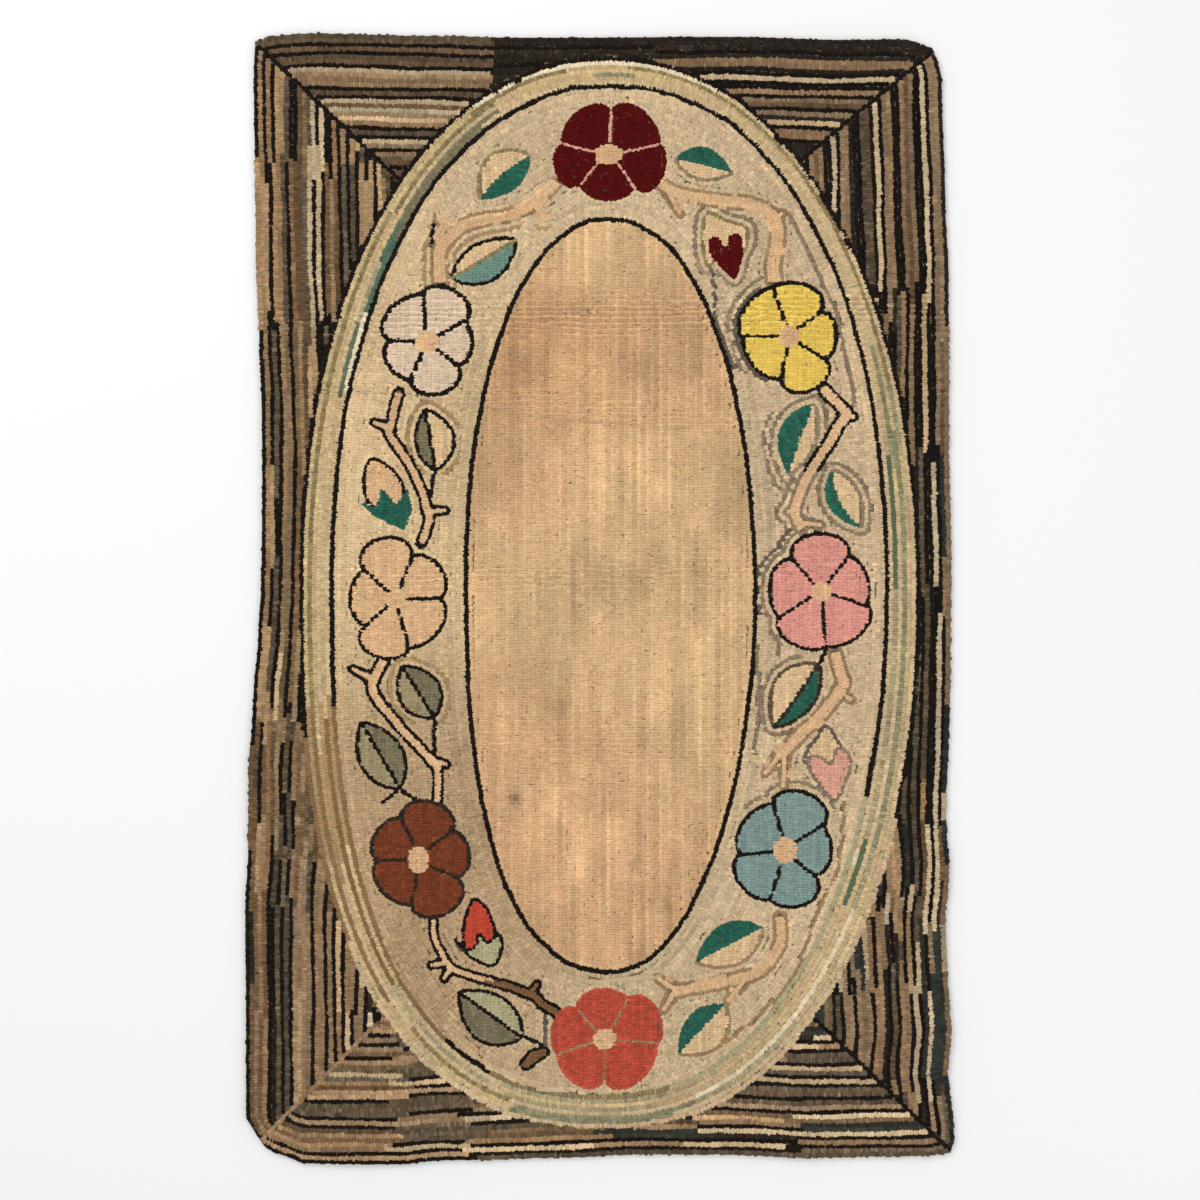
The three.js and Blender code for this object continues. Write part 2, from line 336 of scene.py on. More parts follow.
# The branches: a centre line with its half width at both ends, and prongs as short side stubs.
# Some outlines show in dashes, and some wools change below a height.
STEMS = table(
    "name half line fill way prongs dashes line_below fill_below",
    ("1", (7, 10), "hazel", "stem_peach",
     [(-55, 535), (-72, 519), (-97, 501), (-123, 492), (-148, 488), (-173, 481), (-190, 468),
      (-205, 450), (-206, 431), (-205, 408)],
     [((-190, 470), (-208, 489)), ((-85, 508), (-72, 490))], 0.7),
    ("2", (7.5, 10.5), "hazel", "stem_peach",
     [(78, 535), (97, 523), (130, 516), (155, 512), (194, 508), (221, 494), (229, 475),
      (227, 451), (223, 428), (225, 409)],
     [((224, 488), (235, 496)), ((88, 524), (104, 495))], 0.8),
    ("3", (7.5, 7.5), "ink", "stem_peach",
     [(288, 270), (306, 251), (318, 238), (307, 223), (296, 202), (281, 179), (269, 160),
      (261, 143), (255, 127), (251, 111), (259, 91)],
     [((314, 238), (328, 234)), ((252, 116), (242, 111)), ((260, 98), (285, 95))], None, (163, "ash")),
    ("4", (8.5, 8.5), "hazel", "stem_peach",
     [(303, -70), (309, -93), (314, -109), (302, -128), (284, -150), (264, -169), (245, -188),
      (230, -201)],
     [((306, -118), (324, -130)), ((232, -200), (213, -224)), ((238, -198), (237, -241))], 0.8),
    ("5", (8, 8), "hazel", "stem_peach",
     [(232, -410), (233, -439), (223, -460), (204, -480), (175, -489), (139, -497), (111, -502),
      (97, -506)],
     [((98, -503), (74, -487)), ((96, -506), (82, -529)), ((190, -486), (165, -517))], 0.8),
    ("6", (4.5, 6.5), "ink", "stem_peach",
     [(-214, -414), (-212, -436), (-203, -455), (-194, -471), (-182, -479), (-160, -486),
      (-139, -492), (-113, -499), (-93, -507), (-83, -511), (-71, -523), (-57, -530)],
     [((-196, -468), (-216, -471)), ((-190, -474), (-200, -488)), ((-88, -506), (-80, -495))],
     None, None, (-491, "stem_brown")),
    ("7", (6.5, 6), "ink", "stem_peach",
     [(-258, 265), (-263, 249), (-267, 229), (-272, 215), (-262, 199), (-251, 183), (-241, 166),
      (-233, 149), (-226, 133), (-223, 118), (-219, 105), (-223, 87), (-229, 73)],
     [((-268, 219), (-290, 227)), ((-222, 112), (-198, 114))]),
    ("8", (7.5, 5.5), "ink", "stem_peach",
     [(-278, -80), (-287, -97), (-293, -113), (-283, -133), (-266, -153), (-250, -173),
      (-235, -187), (-220, -204), (-209, -217), (-208, -235), (-209, -264)],
     [((-290, -104), (-318, -90)), ((-216, -208), (-197, -213))]),
)
PRONG_HALF = 5.5

# The buds and a twig, in parts with closed outlines, the later ones lying over the earlier.
BUDS = table(
    "bud wool line outline straight",
    ("peach", "peach", "ink",
     [(-294, 180), (-303, 159), (-300, 130), (-280, 112), (-258, 112), (-251, 130),
      (-256, 153), (-274, 172)]),
    ("peach", "teal", None,
     [(-307, 124), (-288, 118), (-280, 143), (-262, 121), (-247, 142), (-241, 117),
      (-250, 88), (-274, 98), (-292, 109)], True),
    ("red", "poppy", "ink",
     [(-162, -386), (-172, -409), (-176, -435), (-171, -451), (-152, -448),
      (-134, -434), (-139, -412), (-148, -395)]),
    ("red", "lichen", "ink",
     [(-172, -454), (-161, -448), (-154, -431), (-144, -442), (-128, -432),
      (-126, -453), (-138, -472), (-163, -462)]),
    ("maroon", "ivory", "olive",
     [(138, 495), (164, 486), (190, 476), (188, 452), (176, 438), (160, 448),
      (140, 428), (132, 460)]),
    ("maroon", "maroon", None,
     [(174, 411), (158, 424), (143, 442), (141, 462), (152, 466), (162, 452),
      (168, 468), (181, 468), (185, 450), (182, 430)]),
    ("twig", "stem_brown", "ink",
     [(-102, -598), (-89, -582), (-70, -577), (-66, -585), (-82, -597), (-94, -605)]),
    ("pink", "ivory", "slate",
     [(291, -163), (277, -182), (262, -206), (280, -214), (298, -214), (318, -206),
      (306, -182)]),
    ("pink", "pale_pink", "ash",
     [(303, -260), (286, -242), (270, -220), (270, -204), (284, -203), (298, -212),
      (305, -193), (318, -196), (323, -212), (316, -236)]),
)

# Single rows of loops drawn along listed points: stalks, twigs and the grey rows that echo the motifs.
HAND_LINES = table(
    "name wool way",
    ("stalk_f", "ink", [(281, -84), (287, -74), (292, -62)]),
    ("stalk_i", "ink", [(-106, -556), (-89, -567), (-69, -574)]),
    ("stalk_j", "ink", [(-211, 166), (-216, 141), (-216, 115)]),
    ("stalk_k", "ink", [(-212, -152), (-212, -176), (-212, -200)]),
    ("stalk_l_left", "ink", [(-257, -243), (-268, -254), (-280, -262)]),
    ("stalk_l_right", "ink", [(-257, -243), (-246, -252), (-235, -258)]),
    ("grey_top", "slate", [(-70, -535), (-70, -572)]),
    ("side_stem_1", "ink", [(-213, 482), (-216, 454), (-214, 424)]),
    ("long_left_of_mustard", "slate",
     [(144, 424), (148, 395), (149, 366), (154, 345), (166, 316), (174, 296)]),
    ("long_right_of_mustard", "ash",
     [(243, 497), (263, 455), (279, 424), (292, 396), (303, 371), (311, 341), (318, 306), (325, 279),
      (327, 248)]),
    ("long_below_pink_bud", "hazel",
     [(314, -262), (313, -288), (311, -316), (306, -345), (291, -382), (277, -412), (265, -446),
      (247, -488), (209, -531), (163, -571)]),
    ("spike_red_bud", "ink", [(-186, -438), (-180, -444), (-174, -452)]),
    ("echo_centre_top", "ash", [(230, -30), (231, -72)]),
    ("echo_centre", "ash", [(202, -58), (204, -134), (200, -200)]),
)

# Darker rows of the ground that echo a motif at a distance from its outline, within a box.
ECHOES = table(
    "round at wool within",
    ("leaf_d", 9, "ash", (190, 300, 120, 290)),
    ("leaf_d", 19, "ash", (190, 255, 120, 240)),
    ("leaf_e", 8, "ash", (250, 360, 60, 200)),
    ("flower_rose", 8, "ash", (190, 285, -60, 90)),
    ("flower_rose", 15, "slate", (190, 260, -20, 90)),
    ("leaf_f", 8, "ash", (190, 260, -190, -60)),
    ("stem_3", 8, "ash", (190, 262, 80, 180)),
    ("flower_pale_blue", 9, "ash", (140, 340, -270, -230)),
    ("bud_maroon", 8, "ash", (100, 220, 390, 520)),
    ("flower_mustard", 2.4, "slate", (150, 215, 275, 400)),
    ("flower_mustard", 12, "ash", (140, 235, 290, 420)),
    ("stem_1", 8, "fawn", (-230, -60, 400, 480)),
    ("leaf_j", 8, "fawn", (-260, -180, 160, 270)),
    ("leaf_k", 8, "fawn", (-290, -190, -160, -70)),
)


def ease(t):
    c = np.clip(t, 0, 1)
    return c * c * (3 - 2 * c)


def linear(wool):
    """A wool's colour as the linear values that shaders use, and how uneven it is."""
    red, green, blue, *uneven = WOOL[wool]
    c = np.array([red, green, blue], float) / 255
    return np.append(np.where(c <= 0.04045, c / 12.92, ((c + 0.055) / 1.055) ** 2.4), uneven or EVEN)


class Mottle:
    """Smooth seeded noise over the rug, about one high, with its own grain across and along."""

    def __init__(self, seed, across, along):
        self.grid = np.random.default_rng(seed).normal(0, 1, (CHART_ROWS, CHART_COLUMNS))
        self.across, self.along = across, along

    def __call__(self, x, y):
        u = (x - CHART_LEFT) / self.across
        v = (y - CHART_BOTTOM) / self.along
        column, row = np.floor(u).astype(int), np.floor(v).astype(int)
        a, b = ease(u - column), ease(v - row)
        corner = [self.grid[row + i, column + j] for i in (0, 1) for j in (0, 1)]
        return (corner[0] * (1 - a) + corner[1] * a) * (1 - b) + (corner[2] * (1 - a) + corner[3] * a) * b


FIELD_STREAKS = Mottle(11, across=5.6, along=150)
FIELD_CLOUDS = Mottle(12, across=80, along=110)
FIELD_PATCHES = Mottle(15, across=26, along=40)
TWEED_GRAIN = Mottle(13, across=7, along=7)
DASHES = Mottle(17, across=14, along=14)
HOLE_DRIFT = Mottle(14, across=19, along=13)  # how the holes of the burlap wander
DRIFT_SHARE = 0.34  # the most that they wander, as a share of a loop


def resampled(points, step=SAMPLE_STEP):
    """The line through these points with a point at each step, and how far along each point is."""
    points = np.asarray(points, float)
    lengths = np.hypot(*np.diff(points, axis=0).T)
    along = np.concatenate([[0], np.cumsum(lengths)])
    count = max(2, int(along[-1] / step) + 1)
    at = np.linspace(0, along[-1], count)
    return np.stack([np.interp(at, along, points[:, i]) for i in (0, 1)], 1), at


def curved(points, closed=False, steps=12):
    """A smooth line through a few points, as a Catmull-Rom spline."""
    p = np.asarray(points, float)
    if closed:
        ring = np.concatenate([p[-1:], p, p[:2]])
    else:
        ring = np.concatenate([2 * p[:1] - p[1:2], p, 2 * p[-1:] - p[-2:-1]])
    t = np.linspace(0, 1, steps, endpoint=False)[:, None]
    pieces = []
    for a, b, c, d in zip(ring[:-3], ring[1:-2], ring[2:-1], ring[3:]):
        pieces.append(0.5 * (2 * b + (c - a) * t + (2 * a - 5 * b + 4 * c - d) * t**2
                             + (3 * b - a - 3 * c + d) * t**3))
    pieces.append(ring[-2:-1])
    return np.concatenate(pieces)


def box_of(points, margin=0):
    """The lowest and highest x, and the lowest and highest y, of some points."""
    (x0, y0), (x1, y1) = points.min(0) - margin, points.max(0) + margin
    return x0, x1, y0, y1


def runs(on):
    """Where each run of true values starts and stops."""
    return np.flatnonzero(np.diff(np.concatenate([[0], on.astype(np.int8), [0]]))).reshape(-1, 2)


def squareness(oval, across, along):
    """How square an oval is in the quarter that each place lies in."""
    quarter = np.where(along >= 0, np.where(across >= 0, 0, 1), np.where(across < 0, 2, 3))
    return oval["square"][quarter]


def oval_point(oval, turn):
    """The point of an oval at a turn in radians, anticlockwise from its right."""
    c, s = np.cos(turn), np.sin(turn)
    power = 2 / squareness(oval, c, s)
    x = oval["across"] * np.sign(c) * np.abs(c) ** power
    y = oval["along"] * np.sign(s) * np.abs(s) ** power
    tilt = math.radians(oval["tilt"])
    return np.stack([
        oval["x"] + x * math.cos(tilt) - y * math.sin(tilt),
        oval["y"] + x * math.sin(tilt) + y * math.cos(tilt),
    ], -1)


def oval_level(oval, x, y):
    """Below 1 inside an oval, above 1 outside it."""
    tilt = math.radians(oval["tilt"])
    dx, dy = x - oval["x"], y - oval["y"]
    u = dx * math.cos(tilt) + dy * math.sin(tilt)
    v = -dx * math.sin(tilt) + dy * math.cos(tilt)
    power = squareness(oval, u, v)
    return np.abs(u / oval["across"]) ** power + np.abs(v / oval["along"]) ** power


def between(oval_a, oval_b, share):
    """The oval that lies a share of the way from one oval to another."""
    return {key: oval_a[key] + (oval_b[key] - oval_a[key]) * share for key in oval_a}


class Outline:
    """The rug's edge, read from the CAD solid at stations that start a little way in."""

    STATIONS, MARGIN = 360, 3

    def __init__(self, mesh):
        co = np.array([v.co for v in mesh.vertices]) / MM
        ends = np.array([e.vertices[:] for e in mesh.edges])
        a, b = co[ends[:, 0]], co[ends[:, 1]]
        self.sides, self.ends = self.crossings(a, b, 1, 0), self.crossings(a, b, 0, 1)

    @staticmethod
    def crossings(a, b, fixed, free):
        """The lowest and highest place where the solid's edges cross each of many stations."""
        low, high = min(a[:, fixed].min(), b[:, fixed].min()), max(a[:, fixed].max(), b[:, fixed].max())
        stations = np.linspace(low + Outline.MARGIN, high - Outline.MARGIN, Outline.STATIONS)
        extremes = []
        for station in stations:
            crosses = (a[:, fixed] - station) * (b[:, fixed] - station) < 0
            p, q = a[crosses], b[crosses]
            share = (station - p[:, fixed]) / (q[:, fixed] - p[:, fixed])
            value = p[:, free] + share * (q[:, free] - p[:, free])
            extremes.append((value.min(), value.max()))
        return stations, np.array(extremes)

    def edge(self, side, along):
        """Where a side's edge lies, at places along it."""
        stations, extremes = self.sides if side in ("left", "right") else self.ends
        return np.interp(along, stations, extremes[:, int(side in ("right", "top"))])


class Chart:
    """Which area each small cell of the rug belongs to. Later marks lie over earlier ones."""

    def __init__(self):
        self.cells = np.zeros((CHART_ROWS, CHART_COLUMNS), np.int16)
        self.names = ["nothing"]

    def area(self, name):
        if name not in self.names:
            self.names.append(name)
        return self.names.index(name)

    def window(self, x0, x1, y0, y1):
        """The slices that cover a box, and the x and y of their cells."""
        c0, c1 = (int((x - CHART_LEFT) / CELL) for x in (x0, x1 + CELL))
        r0, r1 = (int((y - CHART_BOTTOM) / CELL) for y in (y0, y1 + CELL))
        c0, c1 = max(c0, 0), min(c1, CHART_COLUMNS)
        r0, r1 = max(r0, 0), min(r1, CHART_ROWS)
        x = CHART_LEFT + (np.arange(c0, c1) + 0.5) * CELL
        y = CHART_BOTTOM + (np.arange(r0, r1) + 0.5) * CELL
        return (slice(r0, r1), slice(c0, c1)), *np.meshgrid(x, y)

    def mark(self, name, box, inside):
        where, x, y = self.window(*box)
        self.cells[where][inside(x, y)] = self.area(name)

    def mark_polygon(self, name, points):
        p = np.asarray(points)
        self.mark(name, box_of(p), lambda x, y: inside_polygon(p, x, y))

    def mark_line(self, name, points, half=LINE_CLEARANCE, only=None):
        line, _ = resampled(points, 0.7)
        reach = int(half / CELL) + 1
        column = np.floor((line[:, 0] - CHART_LEFT) / CELL).astype(int)
        row = np.floor((line[:, 1] - CHART_BOTTOM) / CELL).astype(int)
        number = self.area(name)
        for dr in range(-reach, reach + 1):
            for dc in range(-reach, reach + 1):
                x = CHART_LEFT + (column + dc + 0.5) * CELL
                y = CHART_BOTTOM + (row + dr + 0.5) * CELL
                near = np.hypot(x - line[:, 0], y - line[:, 1]) < half
                inside = (row + dr >= 0) & (row + dr < CHART_ROWS)
                inside &= (column + dc >= 0) & (column + dc < CHART_COLUMNS)
                keep = near & inside
                if only is not None:
                    keep[keep] = self.cells[(row + dr)[keep], (column + dc)[keep]] == self.area(only)
                self.cells[(row + dr)[keep], (column + dc)[keep]] = number

    def at(self, x, y):
        column = np.clip(np.floor((x - CHART_LEFT) / CELL).astype(int), 0, CHART_COLUMNS - 1)
        row = np.clip(np.floor((y - CHART_BOTTOM) / CELL).astype(int), 0, CHART_ROWS - 1)
        return self.cells[row, column]


def inside_polygon(p, x, y):
    inside = np.zeros(x.shape, bool)
    for (x0, y0), (x1, y1) in zip(p, np.roll(p, -1, axis=0)):
        spans = (y0 > y) != (y1 > y)
        if y0 != y1:
            inside ^= spans & (x < x0 + (y - y0) * (x1 - x0) / (y1 - y0))
    return inside


def zero_lines(field, x0, y0, cell):
    """The closed lines along which a field on a grid of points changes sign."""
    inside = field < 0
    mixed = ((inside[:-1, :-1] != inside[1:, :-1]) | (inside[:-1, :-1] != inside[:-1, 1:])
             | (inside[1:, 1:] != inside[1:, :-1]) | (inside[1:, 1:] != inside[:-1, 1:]))
    follow, place = {}, {}
    for r, c in zip(*np.nonzero(mixed)):
        corners = [(r, c), (r, c + 1), (r + 1, c + 1), (r + 1, c)]
        leaving, entering = [], []
        for a, b in zip(corners, corners[1:] + corners[:1]):
            if inside[a] == inside[b]:
                continue
            key = (min(a, b), max(a, b))
            share = field[a] / (field[a] - field[b])
            row, column = a[0] + share * (b[0] - a[0]), a[1] + share * (b[1] - a[1])
            place[key] = (x0 + column * cell, y0 + row * cell)
            (leaving if inside[a] else entering).append(key)
        for start, stop in zip(leaving, entering):
            follow[start] = stop
    lines = []
    while follow:
        first, key = follow.popitem()
        line = [place[first], place[key]]
        while key in follow:
            key = follow.pop(key)
            line.append(place[key])
        lines.append(np.array(line))
    return lines


def beside(line, offset):
    """The line that runs beside another, to its left where the offset is above zero."""
    ahead = np.gradient(line, axis=0)
    left = np.stack([-ahead[:, 1], ahead[:, 0]], 1) / np.hypot(*ahead.T)[:, None]
    return line + offset * left


def nearest_of(points, x, y):
    """How far each place is from the nearest of some points."""
    away = np.full(x.shape, 1e6)
    for px, py in points:
        away = np.minimum(away, (x - px) ** 2 + (y - py) ** 2)
    return np.sqrt(away)


def lines_within(outline, distance):
    """The closed lines at a distance inside an outline."""
    p, _ = resampled(np.concatenate([outline, outline[:1]]), 1.2)
    (x0, y0), (x1, y1) = p.min(0) - 3, p.max(0) + 3
    x, y = np.meshgrid(np.arange(x0, x1, FIELD_STEP), np.arange(y0, y1, FIELD_STEP))
    away = nearest_of(p, x, y)
    field = np.where(inside_polygon(p, x, y), distance - away, distance + away)
    return zero_lines(field, x0, y0, FIELD_STEP)


def lines_round(chart, name, distance):
    """The closed lines at a distance outside everything that is marked for one motif."""
    numbers = [number for number, area in enumerate(chart.names) if area.startswith(name)]
    marked = np.isin(chart.cells, numbers)
    rows, columns = np.nonzero(marked)
    reach = int(distance) + 4
    r0, c0 = rows.min() - reach, columns.min() - reach
    marked = marked[r0:rows.max() + reach, c0:columns.max() + reach]
    inner = marked[1:-1, 1:-1] & marked[:-2, 1:-1] & marked[2:, 1:-1] & marked[1:-1, :-2] & marked[1:-1, 2:]
    edge = marked.copy()
    edge[1:-1, 1:-1] &= ~inner
    x, y = np.meshgrid(np.arange(marked.shape[1], dtype=float), np.arange(marked.shape[0], dtype=float))
    away = nearest_of(np.argwhere(edge)[:, ::-1], x, y)
    field = np.where(marked, -1, away - distance / CELL)
    return zero_lines(field, CHART_LEFT + (c0 + 0.5) * CELL, CHART_BOTTOM + (r0 + 0.5) * CELL, CELL)


def shades(table):
    """A colour for any place, eased between the named wools of a table."""
    wools = [linear(row["wool"]) for row in table]

    def colour(x, y):
        weights = [np.exp(-((x - row["x"]) ** 2 + (y - row["y"]) ** 2) / row["reach"] ** 2) + 1e-4
                   for row in table]
        total = sum(weights)
        return sum((w / total)[:, None] * wool for w, wool in zip(weights, wools))

    return colour


def plain(wool):
    colour = linear(wool)
    return lambda x, y: np.tile(colour, (len(x), 1))


def changing(wool, below, height):
    """One wool above a height and another below it."""
    upper, lower = linear(wool), linear(below)
    return lambda x, y: np.where((y > height)[:, None], upper, lower)


def dashed(wool, gap_wool, share):
    """A line that shows in dashes: a share of it is left in the wool of its ground."""
    line, gap = linear(wool), linear(gap_wool)
    return lambda x, y: np.where((DASHES(x, y) > 1.8 * share - 0.9)[:, None], line, gap)


BAND_X, BAND_Y, BAND_SLIMNESS = 12, 9, 0.56  # the band's middle, and its width over its length


def by_bearing(table, x, y):
    """The wool of a band's line at each place, by degrees clockwise round the oval."""
    wools = np.array([linear(row["wool"]) for row in table])
    return wools[np.searchsorted([row["to"] for row in table[:-1]], bearing(x, y))]


def bearing(x, y):
    """Degrees round the oval, clockwise from the top, as if the oval were a circle."""
    return np.degrees(np.arctan2(x - BAND_X, (y - BAND_Y) * BAND_SLIMNESS)) % 360


def stained_and_shaded(colours, x, y):
    """Stains darken the wool where they lie. Painted shade darkens it along fold creases, and painted shade
    and light make every second loop of a rucked band darker and the next paler.
    """
    factor = np.ones(len(x))
    for stain in STAINS:
        away = np.hypot(x - stain["x"], y - stain["y"]) / stain["radius"]
        factor *= 1 - stain["dark"] * np.exp(-(away**2))
    # Painted shade along each fold crease.
    for crease in CREASES:
        (x0, y0), (x1, y1) = crease["from"], crease["to"]
        along = np.clip(((x - x0) * (x1 - x0) + (y - y0) * (y1 - y0))
                        / ((x1 - x0) ** 2 + (y1 - y0) ** 2), 0, 1)
        away = np.hypot(x - x0 - along * (x1 - x0), y - y0 - along * (y1 - y0)) / crease["half"]
        factor *= 1 - crease["dark"] * np.exp(-(away**2))
    # Painted shade and light on the wrinkles of the rucked bands.
    beat = y / LOOP_PITCH + DRIFT_SHARE * HOLE_DRIFT(x, y)
    factor *= 1 + RIPPLE_SHADE * ruck(x, y) * np.sin(np.pi * beat)
    return colours * factor[:, None]


def loop_ends(line, at, pitch):
    """Where each loop of a run starts and stops. The loops of neighbouring rows keep in step,
    because they come up through the same threads of the burlap."""
    span = at[-1] - at[0]
    way = line[-1] - line[0]
    axis = int(abs(way[1]) > abs(way[0]))
    if abs(way[axis]) < STEADY * span:
        return np.linspace(at[0], at[-1], max(1, round(span / pitch)) + 1)
    beat = np.sign(way[axis]) * (line[:, axis] / pitch + DRIFT_SHARE * HOLE_DRIFT(line[:, 0], line[:, 1]))
    beat = np.maximum.accumulate(beat)
    inner = np.arange(math.ceil(beat[0] + 0.4), math.floor(beat[-1] - 0.4) + 1)
    return np.concatenate([at[:1], np.interp(inner, beat, at), at[-1:]])


class Hooking:
    """Collects the loops of every piece of the rug as they are hooked."""

    def __init__(self, chart):
        self.chart = chart
        self.loops = {}

    def row(self, piece, area, points, colour, width=ROW_PITCH, pitch=LOOP_PITCH, streak=0.05,
            thin_dark=1.0, stray=0.0):
        """Hooks a row along a line wherever the chart shows its area. Dark wool may be thinner."""
        line, at = resampled(points)
        on = self.chart.at(line[:, 0], line[:, 1]) == self.chart.area(area)
        for start, stop in runs(on):
            if (stop - start) * SAMPLE_STEP < SHORTEST_RUN:
                continue
            ends = loop_ends(line[start:stop], at[start:stop], pitch)
            ends[0] -= RUN_OVERLAP
            ends[-1] += RUN_OVERLAP
            spots, lengths = (ends[1:] + ends[:-1]) / 2, np.diff(ends)
            count = len(spots)
            x, y = (np.interp(spots, at, line[:, i]) for i in (0, 1))
            ahead = [np.interp(spots + 1.5, at, line[:, i]) - np.interp(spots - 1.5, at, line[:, i])
                     for i in (0, 1)]
            turn = np.arctan2(ahead[1], ahead[0])
            aside = rng.normal(0, 1, count) * stray
            x, y = x + aside * np.sin(turn), y - aside * np.cos(turn)
            colours = colour(x, y)
            widths = width * np.where(colours[:, :3].sum(1) < 0.06, thin_dark, 2 - thin_dark)
            strip = np.repeat(rng.normal(0, streak, count // 18 + 1), 18)[:count]
            tone = np.exp(strip + rng.normal(0, 1, count) * colours[:, 3])[:, None]
            dyed = colours[:, :3] * tone * np.exp(rng.normal(0, 0.02, (count, 3)))
            block = np.column_stack([x, y, turn, lengths, widths, stained_and_shaded(dyed, x, y)])
            self.loops.setdefault(piece, []).append(block)

    def rim(self, piece, area, outline, colour):
        """A first row just inside a shape, in its own wool, so that its edge is smooth."""
        for line in lines_within(outline, RIM_PITCH / 2):
            self.chart.mark_line(area + "_rim", line, half=RIM_PITCH / 2 + 0.3, only=area)
            self.row(piece, area + "_rim", line, colour, width=RIM_PITCH, streak=0.06)

    def line(self, piece, area, points, colour, width=LINE_WIDTH):
        self.row(piece, area, points, colour, width=width, pitch=LINE_PITCH, streak=0.06, stray=LINE_STRAY)

    def upright_rows(self, piece, area, box, colour, spacing=ROW_PITCH, **how):
        """Fills an area with upright rows."""
        x0, x1, y0, y1 = box
        count = max(1, round((x1 - x0) / spacing))
        for k in range(count):
            x = x0 + (k + 0.5) * (x1 - x0) / count
            self.row(piece, area, [(x, y0), (x, y1)], colour, width=(x1 - x0) / count, **how)


def mark_ground(chart, outline):
    """Marks the border's four sides, the oval band, the ground and the centre."""
    whole = (CHART_LEFT, -CHART_LEFT, CHART_BOTTOM, -CHART_BOTTOM)

    def in_rug(x, y):
        return ((x > outline.edge("left", y)) & (x < outline.edge("right", y))
                & (y > outline.edge("bottom", x)) & (y < outline.edge("top", x)))

    def beyond(mitre, x, y):
        """Positive on the side of the mitre that lies towards the top or bottom edge."""
        (x0, y0), (x1, y1) = mitre["corner"], mitre["oval"]
        side = (x1 - x0) * (y - y0) - (y1 - y0) * (x - x0)
        return side * np.sign(x1 - x0) * np.sign(y0)

    def on_ends(x, y):
        """True in the top and bottom sides of the border."""
        top_left, top_right, bottom_left, bottom_right = (beyond(mitre, x, y) for mitre in MITRES)
        corner = np.where(x < 0, np.where(y > 0, top_left, bottom_left),
                          np.where(y > 0, top_right, bottom_right))
        return corner > 0

    chart.mark("border_left", whole, lambda x, y: in_rug(x, y) & (x < 0) & ~on_ends(x, y))
    chart.mark("border_right", whole, lambda x, y: in_rug(x, y) & (x >= 0) & ~on_ends(x, y))
    chart.mark("border_top", whole, lambda x, y: in_rug(x, y) & (y > 0) & on_ends(x, y))
    chart.mark("border_bottom", whole, lambda x, y: in_rug(x, y) & (y <= 0) & on_ends(x, y))
    for mitre in MITRES:
        chart.mark_line("mitre_" + mitre["name"], [mitre["corner"], mitre["oval"]])
    for area, oval in (("band", "band_outer"), ("ground", "band_inner"), ("centre", "centre")):
        chart.mark(area, whole, lambda x, y, oval=oval: oval_level(OVALS[oval], x, y) < 1)
        chart.mark_line("oval_" + oval, oval_line(oval), half=OVAL_LINE / 2 + 0.3)


def oval_line(name, wobble=1.1):
    """One of the three ovals as a hand-drawn closed line."""
    turn = FULL_TURN
    line = oval_point(OVALS[name], turn)
    middle = np.array([OVALS[name]["x"], OVALS[name]["y"]])
    sway = 1 + wobble * (np.sin(5 * turn + 1) + np.sin(11 * turn + 2) + np.sin(23 * turn)
                         + 0.7 * np.sin(61 * turn) + 0.5 * np.sin(97 * turn + 1)) / 900
    return middle + (line - middle) * sway[:, None]


def hook_centre(hooking):
    oval = OVALS["centre"]
    box = (oval["x"] - oval["across"], oval["x"] + oval["across"],
           oval["y"] - oval["along"], oval["y"] + oval["along"])
    shade = shades(CENTRE_SHADES)

    def colour(x, y):
        colours = shade(x, y)
        mottle = 0.08 * FIELD_STREAKS(x, y) + 0.07 * FIELD_CLOUDS(x, y) + 0.07 * FIELD_PATCHES(x, y)
        colours[:, :3] *= np.exp(mottle)[:, None]
        colours[:, :3] *= 1 - ruck(x, y)[:, None] * np.array([0.02, 0.04, 0.06])
        return colours

    line = beside(oval_line("centre"), OVAL_EDGE)
    hooking.chart.mark_line("centre_rim", line, half=RIM_PITCH / 2 + 0.2, only="centre")
    hooking.row("centre_field", "centre_rim", line, colour, width=RIM_PITCH, streak=0.03)
    hooking.upright_rows("centre_field", "centre", box, colour, streak=0.03)
    hooking.line("centre_outline", "oval_centre", oval_line("centre"), plain("ink"), width=OVAL_LINE)


def ground_shade(x, y):
    """The ground's wool, which pales and darkens a little from place to place."""
    colours = shades(GROUND_SHADES)(x, y)
    mottle = 0.03 * TWEED_GRAIN(x, y) + 0.05 * FIELD_CLOUDS(x, y) + 0.04 * FIELD_STREAKS(x, y)
    colours[:, :3] *= np.exp(mottle)[:, None]
    return colours


def row_tint(most):
    """How one row differs from its neighbours: a little paler or darker, warmer or cooler."""
    warmth = rng.normal(0, 0.4 * most)
    return np.append(np.exp(rng.normal(0, most) + warmth * np.array([1, 0, -1.4])), 1)


def hook_ground(hooking):
    for name, offset in (("band_inner", OVAL_EDGE), ("centre", -OVAL_EDGE)):
        line = beside(oval_line(name), offset)
        hooking.chart.mark_line("ground_by_" + name, line, half=RIM_PITCH / 2, only="ground")
        hooking.row("ground", "ground_by_" + name, line, ground_shade, width=RIM_PITCH, streak=0.03)
    for k in range(GROUND_ROWS):
        oval = between(OVALS["centre"], OVALS["band_inner"], (k + 0.75) / (GROUND_ROWS + 0.5))
        tint = row_tint(0.03)
        hooking.row("ground", "ground", oval_point(oval, FULL_TURN),
                    lambda x, y, tint=tint: ground_shade(x, y) * tint, streak=0.03)


def charted(chart, place, stagger):
    """The wools that a chart gives at each place along it."""
    limits = np.array([row["to"] for row in chart[:-1]], float) + stagger
    return np.searchsorted(np.maximum.accumulate(limits), place)


